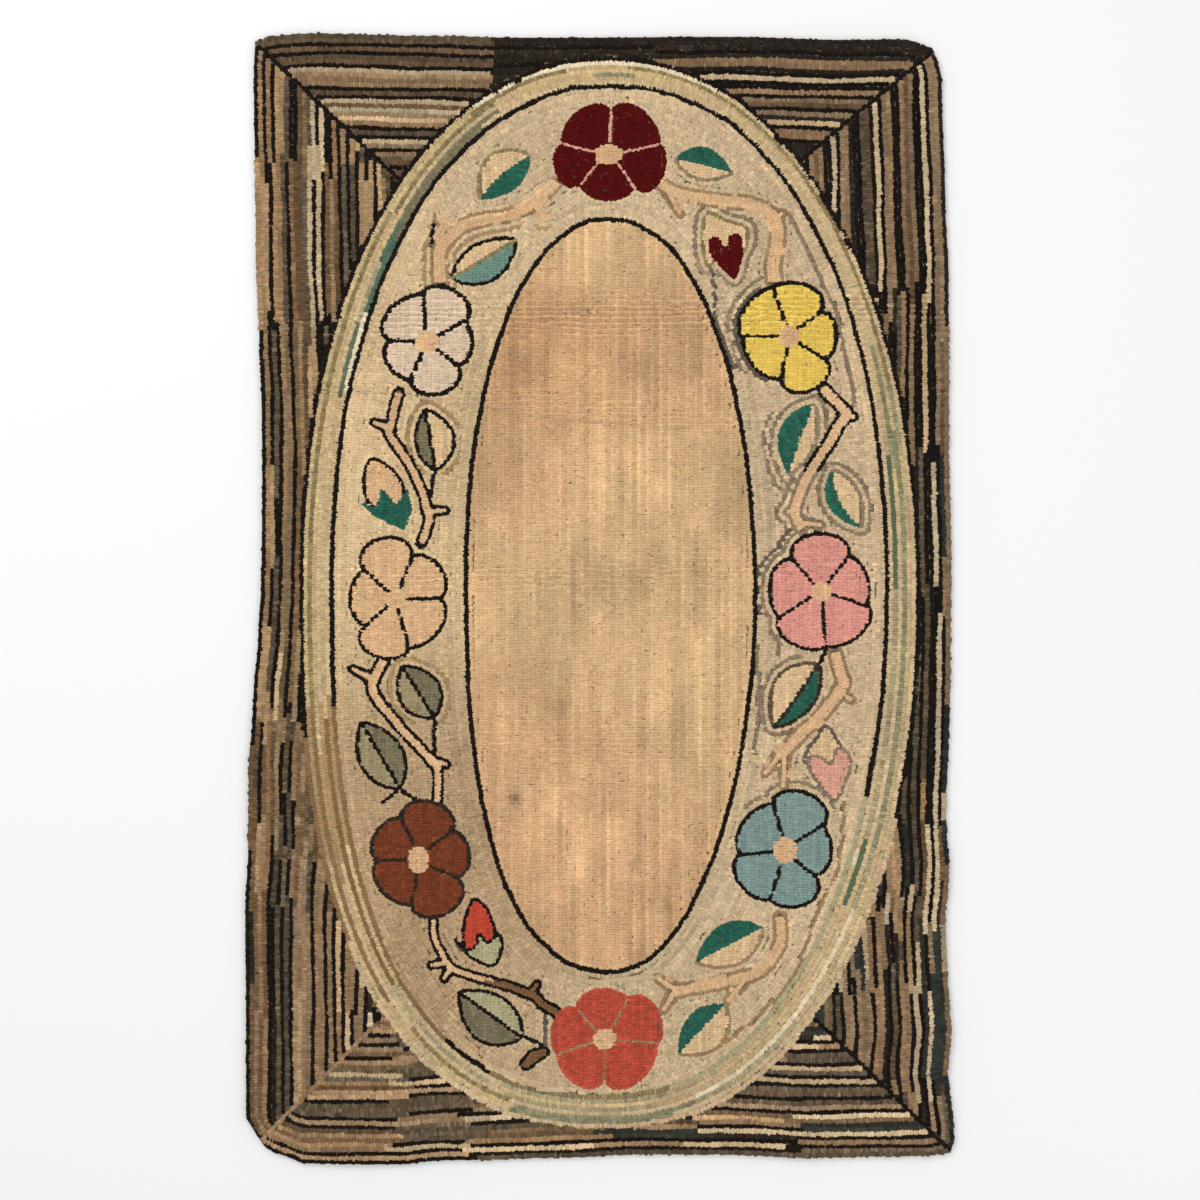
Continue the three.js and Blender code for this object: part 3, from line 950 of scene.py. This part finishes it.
def hook_band(hooking):
    for k in range(BAND_ROWS):
        oval = between(OVALS["band_outer"], OVALS["band_inner"], (k + 1) / (BAND_ROWS + 1))
        stagger = rng.uniform(-4, 4, len(BAND_CHART) - 1)
        wools = np.array([linear(BAND_WOOLS[row["rows"][k]]) for row in BAND_CHART])

        def colour(x, y, stagger=stagger, wools=wools):
            return wools[charted(BAND_CHART, bearing(x, y), stagger)]

        hooking.row("oval_band", "band", oval_point(oval, FULL_TURN), colour, streak=0.07)
    for name, table in BAND_LINES.items():
        hooking.line("band_outlines", "oval_" + name, oval_line(name),
                     lambda x, y, table=table: by_bearing(table, x, y), width=OVAL_LINE)


# How far the border's rows run to each side of the middle, and how far in the first one lies.
BORDER_REACH = {"left": 730, "right": 730, "bottom": 458, "top": 458}
FIRST_ROW = 3.0


def hook_border(hooking, outline):
    """Rows that follow each edge of the rug, in the wools of that side's charts."""
    for side, chart in BORDER_CHARTS.items():
        axis = 1 if side in ("left", "right") else 0
        inwards = 1 if side in ("left", "bottom") else -1
        along = np.arange(-BORDER_REACH[side], BORDER_REACH[side] + 1, 4.0)
        for k in range(DEEPEST_ROW):
            sway = 0.8 * np.sin(along / 41 + k * 0.5) + 0.5 * np.sin(along / 15 + k * 1.1)
            line = np.zeros((len(along), 2))
            line[:, axis] = along
            line[:, 1 - axis] = outline.edge(side, along) + inwards * (FIRST_ROW + k * ROW_PITCH)
            line[:, 1 - axis] += sway * min(1, k / 2)
            tint = row_tint(0.10)
            stagger = rng.uniform(-1, 1, len(chart) - 1) * CHART_STAGGER[side]
            wools = np.array([linear(BORDER_WOOLS[row["rows"][k % len(row["rows"])]]) for row in chart])

            def colour(x, y, axis=axis, stagger=stagger, wools=wools, chart=chart, tint=tint,
                       shade=SIDE_SHADE[side]):
                along, across = ((x, y), (y, x))[axis]
                colours = wools[charted(chart, along, stagger)] * tint
                colours[:, :3] *= shade * np.exp(0.08 * FIELD_STREAKS(across, along))[:, None]
                return colours

            hooking.row("border_" + side, "border_" + side, line, colour, streak=0.08, thin_dark=0.88)
    for mitre in MITRES:
        way = [mitre["corner"], mitre["oval"]]
        hooking.line("border_mitres", "mitre_" + mitre["name"], way, plain(mitre["wool"]))


def flower_reach(flower, angle):
    """How far out a flower reaches at each angle."""
    dividers = flower["dividers"]
    first = dividers[0][0]
    turned = (angle - first) % 360
    reach = np.zeros(angle.shape)
    for k, longest in enumerate(flower["petals"]):
        (a0, notch0), (a1, notch1) = dividers[k], dividers[(k + 1) % len(dividers)]
        start, span = (a0 - first) % 360, (a1 - a0) % 360
        here = (turned >= start) & (turned <= start + span)
        u = (turned[here] - start) / span
        notch = notch0 + (notch1 - notch0) * u
        reach[here] = notch + (longest - notch) * np.sqrt(1 - np.abs(2 * u - 1) ** 2.4)
    return reach


def flower_lines(flower):
    """A flower's outline and dividers as lines."""
    cx, cy = flower["at"]
    angle = np.linspace(0, 360, 361) + flower["dividers"][0][0]
    reach = flower_reach(flower, angle)
    turn = np.radians(angle)
    outline = np.stack([cx + reach * np.cos(turn), cy + reach * np.sin(turn)], 1)
    dividers = []
    for degrees, notch in flower["dividers"]:
        way = np.array([math.cos(math.radians(degrees)), math.sin(math.radians(degrees))])
        start = 1.12 * np.array(flower["disc"]) * way
        dividers.append(np.array([cx, cy]) + np.stack([start, way * notch]))
    return outline, dividers


def mark_flower(chart, flower):
    cx, cy = flower["at"]
    box = box_of(np.array([flower["at"]]), margin=FLOWER_CHARTED)
    name = "flower_" + flower["name"]

    def petals(x, y):
        return np.hypot(x - cx, y - cy) < flower_reach(flower, np.degrees(np.arctan2(y - cy, x - cx)))

    chart.mark(name, box, petals)
    outline, dividers = flower_lines(flower)
    for line in dividers:
        chart.mark_line(name + "_outline", line, half=flower["divider_width"] / 2)
    if flower["line_width"]:
        chart.mark_line(name + "_outline", outline, half=flower["line_width"] / 2)
    across, along = flower["disc"]
    chart.mark(name + "_disc", box, lambda x, y: ((x - cx) / across) ** 2 + ((y - cy) / along) ** 2 < 1)


def hook_flower(hooking, flower):
    cx, cy = flower["at"]
    name = "flower_" + flower["name"]
    box = box_of(np.array([flower["at"]]), margin=FLOWER_HOOKED)
    outline, dividers = flower_lines(flower)
    if not flower["line_width"]:
        hooking.rim(name, name, outline[:-1], plain(flower["name"]))
    hooking.upright_rows(name, name, box, plain(flower["name"]), streak=0.04)
    across, along = flower["disc"]
    disc_box = (cx - across, cx + across, cy - along, cy + along)
    hooking.upright_rows(name, name + "_disc", disc_box, plain(flower["disc_wool"]))
    for line in dividers:
        hooking.line(name, name + "_outline", line, plain(flower["line"]), width=flower["divider_width"])
    if flower["line_width"]:
        hooking.line(name, name + "_outline", outline, plain(flower["line"]), width=flower["line_width"])


def leaf_frame(leaf):
    stem, tip = np.array(leaf["stem"], float), np.array(leaf["tip"], float)
    length = np.hypot(*(tip - stem))
    ahead = (tip - stem) / length
    return stem, ahead, np.array([-ahead[1], ahead[0]]), length


def leaf_swell(share):
    """How wide a leaf is at a share of its length, from 0 at both ends to 1."""
    return np.sin(np.pi * np.clip(share, 0, 1) ** 0.9) ** 0.75


def leaf_lines(leaf):
    stem, ahead, left, length = leaf_frame(leaf)
    share = np.linspace(0, 1, 41)
    swell = leaf_swell(share)

    def line(offset):
        return stem + np.outer(share * length, ahead) + np.outer(offset, left)

    bend = leaf["bend"] * np.sin(np.pi * share)
    return line(leaf["left"][0] * swell), line(-leaf["right"][0] * swell), line(bend)


def leaf_line_wools(leaf):
    return leaf["left"][2], leaf["right"][2], leaf["midrib"]


def mark_leaf(chart, leaf):
    name = "leaf_" + leaf["name"]
    left, right, midrib = leaf_lines(leaf)
    chart.mark_polygon(name + "_left", np.concatenate([left, midrib[::-1]]))
    chart.mark_polygon(name + "_right", np.concatenate([right, midrib[::-1]]))
    for line, wool in zip((left, right, midrib), leaf_line_wools(leaf)):
        if wool:
            chart.mark_line(f"{name}_line_{wool}", line, half=LEAF_CLEARANCE)


def hook_leaf(hooking, leaf):
    name = "leaf_" + leaf["name"]
    lines = leaf_lines(leaf)
    box = box_of(np.concatenate(lines))
    for side, line in zip(("left", "right"), lines):
        _, wool, edge = leaf[side]
        if not edge:
            hooking.rim(name, name + "_" + side, np.concatenate([line, lines[2][::-1]]), plain(wool))
        hooking.upright_rows(name, name + "_" + side, box, plain(wool), spacing=LEAF_SPACING,
                             streak=0.06)
    for line, wool in zip(lines, leaf_line_wools(leaf)):
        if wool:
            hooking.line(name, f"{name}_line_{wool}", line, plain(wool), width=LEAF_LINE)


def stem_field(stem, x, y):
    """Below zero inside a branch with its prongs: the distance to its edge."""
    way = curved(stem["way"], steps=4)
    half = np.linspace(*stem["half"], len(way))
    parts = list(zip(way[:-1], way[1:], half[:-1], half[1:]))
    parts += [(np.array(a, float), np.array(b, float), stem["half"][0], PRONG_HALF - 1)
              for a, b in stem["prongs"]]
    nearest = np.full(x.shape, 1e3)
    for a, b, ra, rb in parts:
        d = b - a
        t = np.clip(((x - a[0]) * d[0] + (y - a[1]) * d[1]) / max(d @ d, 1e-9), 0, 1)
        away = np.hypot(x - a[0] - t * d[0], y - a[1] - t * d[1]) - (ra + t * (rb - ra))
        nearest = np.minimum(nearest, away)
    return nearest


def stem_box(stem):
    return box_of(np.array(stem["way"] + [tip for _, tip in stem["prongs"]]), margin=16)


def stem_outlines(stem):
    x0, x1, y0, y1 = stem_box(stem)
    x, y = np.meshgrid(np.arange(x0, x1, FIELD_STEP), np.arange(y0, y1, FIELD_STEP))
    return zero_lines(stem_field(stem, x, y), x0, y0, FIELD_STEP)


def mark_stem(chart, stem):
    name = "stem_" + stem["name"]
    chart.mark(name, stem_box(stem), lambda x, y: stem_field(stem, x, y) < 0)
    for line in stem_outlines(stem):
        chart.mark_line(name + "_outline", line, half=STEM_CLEARANCE)


def stem_line_colour(stem):
    """A branch's outline: one wool, another below a height, or dashes in the branch's own wool."""
    if stem.get("line_below"):
        height, wool = stem["line_below"]
        return changing(stem["line"], wool, height)
    if stem.get("dashes"):
        return dashed(stem["line"], stem["fill"], 1 - stem["dashes"])
    return plain(stem["line"])


def stem_colour(stem):
    """A branch's own wool, with another below a height where the table has one."""
    if stem.get("fill_below"):
        height, wool = stem["fill_below"]
        return changing(stem["fill"], wool, height)
    return plain(stem["fill"])


def hook_stem(hooking, stem):
    name = "stem_" + stem["name"]
    way = curved(stem["way"])
    inner = 2 * (np.linspace(*stem["half"], len(way)) - 1.9)
    rows = max(2, round(inner.max() / RIM_PITCH))
    for k in range(rows):
        offset = ((k + 0.5) / rows - 0.5) * inner
        hooking.row(name, name, beside(way, offset[:, None]), stem_colour(stem),
                    width=inner.mean() / rows + 0.6)
    for start, tip in stem["prongs"]:
        hooking.row(name, name, [start, tip], stem_colour(stem), width=5.0)
    for line in stem_outlines(stem):
        hooking.line(name, name + "_outline", line, stem_line_colour(stem), width=STEM_LINE)


def hook_echoes(hooking):
    """Rows of the ground's wool that go round each motif, and the darker rows of the table."""
    for row in ECHOES:
        area = f"echo_{row['round']}_{row['at']}"
        x0, x1, y0, y1 = row["within"]
        for line in lines_round(hooking.chart, row["round"], row["at"]):
            inside = (line[:, 0] > x0) & (line[:, 0] < x1) & (line[:, 1] > y0) & (line[:, 1] < y1)
            for start, stop in runs(inside):
                if stop - start > 4:
                    part = line[start:stop]
                    hooking.chart.mark_line(area, part, half=ECHO_CLEARANCE, only="ground")
                    hooking.row("ground_echoes", area, part, plain(row["wool"]), width=ECHO_LINE,
                                streak=0.08)
    motifs = (["flower_" + row["name"] for row in FLOWERS] + ["leaf_" + row["name"] for row in LEAVES]
              + ["stem_" + row["name"] for row in STEMS] + ["bud_" + row["bud"] for row in BUDS])
    for name in dict.fromkeys(motifs):
        for line in lines_round(hooking.chart, name, RIM_PITCH / 2):
            hooking.chart.mark_line("near_" + name, line, half=RIM_PITCH / 2 + 0.2, only="ground")
            hooking.row("ground_echoes", "near_" + name, line, ground_shade, width=RIM_PITCH, streak=0.03)


def bud_outline(part):
    """A part's outline, which is rounded unless the table says that its sides are straight."""
    if part.get("straight"):
        return np.array(part["outline"], float)
    return curved(part["outline"], closed=True, steps=8)


def mark_bud(chart, part):
    area = f"bud_{part['bud']}_{part['wool']}"
    outline = bud_outline(part)
    chart.mark_polygon(area, outline)
    if part["line"]:
        chart.mark_line(area + "_outline", outline, half=BUD_CLEARANCE)


def hook_bud(hooking, part):
    piece = "bud_" + part["bud"]
    area = f"{piece}_{part['wool']}"
    outline = bud_outline(part)
    if not part["line"] and not part.get("straight"):
        hooking.rim(piece, area, outline, plain(part["wool"]))
    hooking.upright_rows(piece, area, box_of(outline), plain(part["wool"]), spacing=BUD_SPACING)
    if part["line"]:
        hooking.line(piece, area + "_outline", outline, plain(part["line"]), width=BUD_LINE)


def mark_creases(chart):
    """No loop stands on a crease, so it shows as a thin dark line."""
    for crease in CREASES:
        if crease["gap"]:
            line, at = resampled([crease["from"], crease["to"]], 2.0)
            line[:, 1] += 1.1 * np.sin(at / 9) + 0.7 * np.sin(at / 4)
            for start in range(0, len(line) - 8, 12):
                chart.mark_line("crease", line[start:start + 9], half=crease["gap"])


def mark_hand_lines(chart):
    for row in HAND_LINES:
        chart.mark_line("hand_" + row["name"], curved(row["way"]), half=HAND_CLEARANCE)


def hook_hand_lines(hooking):
    for row in HAND_LINES:
        hooking.line("hand_lines", "hand_" + row["name"], curved(row["way"]), plain(row["wool"]),
                     width=HAND_LINE)


# One loop, as shares of its half width and half length, and of the pile's depth: a foot of
# eight corners and a crest of four.
LOOP_FOOT = [
    (1.32, 0.85), (1.0, 1.28), (-1.0, 1.28), (-1.32, 0.85),
    (-1.32, -0.85), (-1.0, -1.28), (1.0, -1.28), (1.32, -0.85),
]
LOOP_CREST = [(0.76, 0.5), (-0.76, 0.5), (-0.76, -0.5), (0.76, -0.5)]
LOOP_FACES = [
    (0, 1, 8), (1, 2, 9, 8), (2, 3, 9), (3, 4, 10, 9), (4, 5, 10), (5, 6, 11, 10), (6, 7, 11),
    (7, 0, 8, 11), (8, 9, 10, 11),
]
LOOP_CORNERS = len(LOOP_FOOT) + len(LOOP_CREST)
FOOT_SHADE = 0.84  # painted shade: how much darker the loops' feet are coloured than their crests, deep between the loops
LOWEST_FOOT = 0.1  # how far above the floor the loops of the hem stay

# How unevenly loops stand. A rucked place adds to their lean and to the stray of their height.
LEAN, RUCKED_LEAN = 0.06, 0.05
TURN_STRAY = 0.13
HEIGHT_STRAY, RUCKED_STRAY = 0.20, 0.10
LENGTH_SHARE, LENGTH_STRAY = 1.03, 0.06
WIDTH_SHARE, WIDTH_STRAY = 1.02, 0.10

# In metres: a height above all of the rug, and one near its top for places just outside it.
ABOVE_RUG, NEAR_RUG = 0.1, 0.006


def surface_under(tree, x, y):
    """The height and slope of the rug's top at each place."""
    spots, slopes = np.zeros(len(x)), np.zeros((len(x), 3))
    down = Vector((0, 0, -1))
    for i, (px, py) in enumerate(zip(x * MM, y * MM)):
        hit, normal, _, _ = tree.ray_cast(Vector((px, py, ABOVE_RUG)), down)
        if hit is None:
            hit, normal, _, _ = tree.find_nearest(Vector((px, py, NEAR_RUG)))
        spots[i] = hit.z
        slopes[i] = normal
    return spots, slopes


def ruck(x, y):
    """How far the pile is drawn together at a place, from 0 to 1."""
    near = np.zeros(len(x))
    for band in RUCKED_BANDS:
        away = (y - band["y"] - band["slope"] * x) / band["half"]
        near = np.maximum(near, band["depth"] * np.exp(-(away**2)))
    return near


def unit(v):
    return v / np.linalg.norm(v, axis=1, keepdims=True)


def loop_corners(block, tree):
    """The corners of every loop, in metres."""
    count = len(block)
    aside = rng.normal(0, SIDE_STRAY, count)
    ahead = rng.normal(0, AHEAD_STRAY, count)
    x = block[:, 0] + aside * np.sin(block[:, 2]) + ahead * np.cos(block[:, 2])
    y = block[:, 1] - aside * np.cos(block[:, 2]) + ahead * np.sin(block[:, 2])
    rucked = ruck(x, y)
    height, up = surface_under(tree, x, y)
    tilt = (LEAN + RUCKED_LEAN * rucked)[:, None]
    up = unit(up * 0.7 + [0, 0, 0.3] + rng.normal(0, 1, (count, 3)) * tilt)
    turn = block[:, 2] + rng.normal(0, TURN_STRAY, count)
    along = np.stack([np.cos(turn), np.sin(turn), np.zeros(count)], 1)
    along = unit(along - up * np.sum(along * up, 1)[:, None])
    across = np.cross(along, up)
    raised = rng.normal(0, HEIGHT_STRAY + RUCKED_STRAY * rucked, count) * MM
    top = np.stack([x * MM, y * MM, height + raised], 1)
    half_along = block[:, 3] * 0.5 * rng.normal(LENGTH_SHARE, LENGTH_STRAY, count) * MM
    half_across = block[:, 4] * 0.5 * rng.normal(WIDTH_SHARE, WIDTH_STRAY, count) * MM
    corners = np.zeros((count, LOOP_CORNERS, 3))
    for k, (u, v) in enumerate(LOOP_FOOT + LOOP_CREST):
        depth = PILE_DEPTH * MM if k < len(LOOP_FOOT) else 0
        corners[:, k] = (top + across * (half_across * u)[:, None] + along * (half_along * v)[:, None]
                         - up * depth)
    sunk = np.maximum(0, LOWEST_FOOT * MM - corners[:, :, 2].min(1))
    corners[:, :, 2] += sunk[:, None]
    return corners


def build_loops(name, block, tree, material):
    """One joined mesh of loops."""
    corners = loop_corners(block, tree)
    count = len(block)
    sizes = np.array([len(face) for face in LOOP_FACES])
    pattern = np.concatenate([np.array(face) for face in LOOP_FACES])
    indices = (np.arange(count)[:, None] * LOOP_CORNERS + pattern[None, :]).ravel()
    totals = np.tile(sizes, count)
    starts = np.concatenate([[0], np.cumsum(totals)[:-1]])
    mesh = bpy.data.meshes.new(name)
    mesh.vertices.add(count * LOOP_CORNERS)
    mesh.vertices.foreach_set("co", corners.ravel())
    mesh.loops.add(len(indices))
    mesh.loops.foreach_set("vertex_index", indices)
    mesh.polygons.add(len(totals))
    mesh.polygons.foreach_set("loop_start", starts)
    mesh.polygons.foreach_set("loop_total", totals)
    mesh.update(calc_edges=True)
    mesh.validate()
    mesh.polygons.foreach_set("use_smooth", np.ones(len(totals), bool))
    # Painted shade: each loop's foot is coloured darker than its crest, by FOOT_SHADE.
    shade = np.array([FOOT_SHADE] * len(LOOP_FOOT) + [1.0] * len(LOOP_CREST))
    colours = np.ones((count, LOOP_CORNERS, 4))
    colours[:, :, :3] = np.clip(block[:, None, 5:8] * shade[None, :, None], 0, 1)
    attribute = mesh.color_attributes.new(name="wool", type="FLOAT_COLOR", domain="POINT")
    attribute.data.foreach_set("color", colours.ravel())
    lay_flat_uv(mesh)
    mesh.materials.append(material)
    return placed(name, mesh)


def lay_flat_uv(mesh):
    """A bake map that looks straight down on the piece."""
    co = np.zeros(len(mesh.vertices) * 3)
    mesh.vertices.foreach_get("co", co)
    flat = co.reshape(-1, 3)[:, :2]
    low, size = flat.min(0), np.ptp(flat, axis=0)
    corner = np.zeros(len(mesh.loops), int)
    mesh.loops.foreach_get("vertex_index", corner)
    uv = (flat[corner] - low) / size
    mesh.uv_layers.new(name="OFBake").data.foreach_set("uv", uv.ravel())


def split(name, block):
    """The loops of a piece in parts that are each small enough, cut across its length."""
    parts = math.ceil(len(block) / MOST_LOOPS)
    order = np.argsort(block[:, 1], kind="stable")
    for k, chosen in enumerate(np.array_split(order, parts)):
        yield (name if parts == 1 else f"{name}_{k + 1}"), block[chosen]


def set_inputs(node, inputs):
    for name, value in inputs.items():
        node.inputs[name.replace("_", " ")].default_value = value


def new_material(name, **inputs):
    """A material and its shader, with some of the shader's inputs set. Names have _ for spaces."""
    material = bpy.data.materials.new(name)
    material.use_nodes = True
    shader = material.node_tree.nodes["Principled BSDF"]
    set_inputs(shader, inputs)
    return material, shader


def new_node(material, kind, **inputs):
    node = material.node_tree.nodes.new("ShaderNode" + kind)
    set_inputs(node, inputs)
    return node


def join(material, *links):
    """Joins nodes. Each link is a node and its output, then another node and its input."""
    for start, output, end, socket in links:
        material.node_tree.links.new(start.outputs[output], end.inputs[socket])


def wool_material():
    """Matt wool: the loop's own colour, broken up by its fibres, with a soft sheen."""
    material, shader = new_material("wool_pile", Roughness=0.95, Specular_IOR_Level=0.08, Sheen_Weight=0.03,
                                    Sheen_Roughness=0.6)
    dyed = new_node(material, "Attribute")
    dyed.attribute_name = "wool"
    where = new_node(material, "TexCoord")
    fibres = new_node(material, "TexNoise", Scale=900, Detail=3)
    spread = new_node(material, "MapRange", From_Min=0.25, From_Max=0.75, To_Min=0.8, To_Max=1.2)
    tinted = new_node(material, "VectorMath")
    tinted.operation = "SCALE"
    bump = new_node(material, "Bump", Strength=0.5, Distance=0.0004)
    join(material,
         (where, "Object", fibres, "Vector"), (fibres, "Fac", spread, "Value"),
         (dyed, "Color", tinted, 0), (spread, "Result", tinted, "Scale"),
         (tinted, "Vector", shader, "Base Color"),
         (fibres, "Fac", bump, "Height"), (bump, "Normal", shader, "Normal"))
    return material


def burlap_material():
    """Plain-woven jute. Its colour is painted shade: darkened as if seen in the gaps between the loops, and
    darker still between its threads.
    """
    material, shader = new_material("burlap", Roughness=0.9, Specular_IOR_Level=0.2)
    where = new_node(material, "TexCoord")
    weave = new_node(material, "Math")
    weave.operation = "MULTIPLY"
    for socket, direction in enumerate("XY"):
        threads = new_node(material, "TexWave", Scale=75, Distortion=1.2, Detail_Scale=2)
        threads.bands_direction = direction
        join(material, (where, "Object", threads, "Vector"), (threads, "Fac", weave, socket))
    ramp = new_node(material, "ValToRGB")
    # Painted shade: both colours are burlap as it looks in shade.
    ramp.color_ramp.elements[0].color = (0.09, 0.062, 0.038, 1)
    ramp.color_ramp.elements[1].color = (0.30, 0.215, 0.13, 1)
    bump = new_node(material, "Bump", Strength=0.7, Distance=0.0006)
    join(material,
         (weave, "Value", ramp, "Fac"), (ramp, "Color", shader, "Base Color"),
         (weave, "Value", bump, "Height"), (bump, "Normal", shader, "Normal"))
    return material


def placed(name, data):
    """A new object in the scene."""
    thing = bpy.data.objects.new(name, data)
    bpy.context.scene.collection.objects.link(thing)
    return thing


# The bed keeps the solid's form up to the hem's height, and its top is let down above that.
HEM_HEIGHT, HEM_RISE, FEET_COVERED = 1.5, 3.0, 0.25


def build_bed():
    """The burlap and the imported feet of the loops: the solid's own form with its top let down."""
    mesh = rug_node.data.copy()
    mesh.name = "burlap_ground"
    co = np.zeros(len(mesh.vertices) * 3)
    mesh.vertices.foreach_get("co", co)
    co = co.reshape(-1, 3)
    lowered = ease((co[:, 2] / MM - HEM_HEIGHT) / HEM_RISE)
    co[:, 2] -= lowered * (PILE_DEPTH - FEET_COVERED) * MM
    mesh.vertices.foreach_set("co", co.ravel())
    mesh.materials.clear()
    mesh.materials.append(burlap_material())
    return placed("burlap_ground", mesh)


def build_floor():
    size = 6.0
    corners = [(-size, -size, 0), (size, -size, 0), (size, size, 0), (-size, size, 0)]
    mesh = bpy.data.meshes.new("floor")
    mesh.from_pydata(corners, [], [(0, 1, 2, 3)])
    material, _ = new_material("pale_floor", Base_Color=(0.86, 0.86, 0.86, 1), Roughness=0.9)
    mesh.materials.append(material)
    return placed("floor", mesh)


# The photograph's frame: its size, and where it looks.
FRAME_HEIGHT = 1542.6
FRAME_MIDDLE = (0.6, -1.3)
CAMERA_HEIGHT = 2700.0
RUG_TOP = 8.5


def add_camera():
    data = bpy.data.cameras.new("camera")
    data.sensor_width = 36
    data.lens = data.sensor_width * (CAMERA_HEIGHT - RUG_TOP) / FRAME_HEIGHT
    camera = placed("camera", data)
    camera.location = (FRAME_MIDDLE[0] * MM, FRAME_MIDDLE[1] * MM, CAMERA_HEIGHT * MM)
    bpy.context.scene.camera = camera


LIGHTS = table(
    "name at size power",
    ("key", (-1.6, 1.8, 2.8), 2.0, 52),
    ("fill", (2.0, -1.0, 2.6), 2.4, 22),
)


def add_lights():
    for row in LIGHTS:
        data = bpy.data.lights.new(row["name"], "AREA")
        data.size = row["size"]
        data.energy = row["power"]
        light = placed(row["name"], data)
        light.location = row["at"]
        light.rotation_mode = "QUATERNION"
        light.rotation_quaternion = (-Vector(row["at"])).to_track_quat("-Z", "Y")
    world = bpy.data.worlds.new("studio")
    world.use_nodes = True
    set_inputs(world.node_tree.nodes["Background"], {"Color": (1, 1, 1, 1), "Strength": 0.72})
    bpy.context.scene.world = world
    bpy.context.scene.view_settings.view_transform = "Standard"


MOTIFS = [
    (STEMS, mark_stem, hook_stem), (LEAVES, mark_leaf, hook_leaf), (BUDS, mark_bud, hook_bud),
    (FLOWERS, mark_flower, hook_flower),
]


def main():
    outline = Outline(rug_node.data)
    chart = Chart()
    mark_ground(chart, outline)
    mark_hand_lines(chart)
    for rows, mark, _ in MOTIFS:
        for row in rows:
            mark(chart, row)
    mark_creases(chart)

    hooking = Hooking(chart)
    hook_centre(hooking)
    hook_echoes(hooking)
    hook_ground(hooking)
    hook_band(hooking)
    hook_border(hooking, outline)
    hook_hand_lines(hooking)
    for rows, _, hook in MOTIFS:
        for row in rows:
            hook(hooking, row)

    wool = wool_material()
    tree = BVHTree.FromPolygons(
        [v.co.copy() for v in rug_node.data.vertices], [p.vertices[:] for p in rug_node.data.polygons])
    pieces = []
    for name, blocks in hooking.loops.items():
        for part, block in split(name, np.concatenate(blocks)):
            pieces.append(build_loops(part, block, tree, wool))
    bed = build_bed()
    floor = build_floor()
    for piece in [bed, *pieces]:
        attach(piece, "root")
        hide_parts("hooked_rug")
    add_camera()
    add_lights()


main()
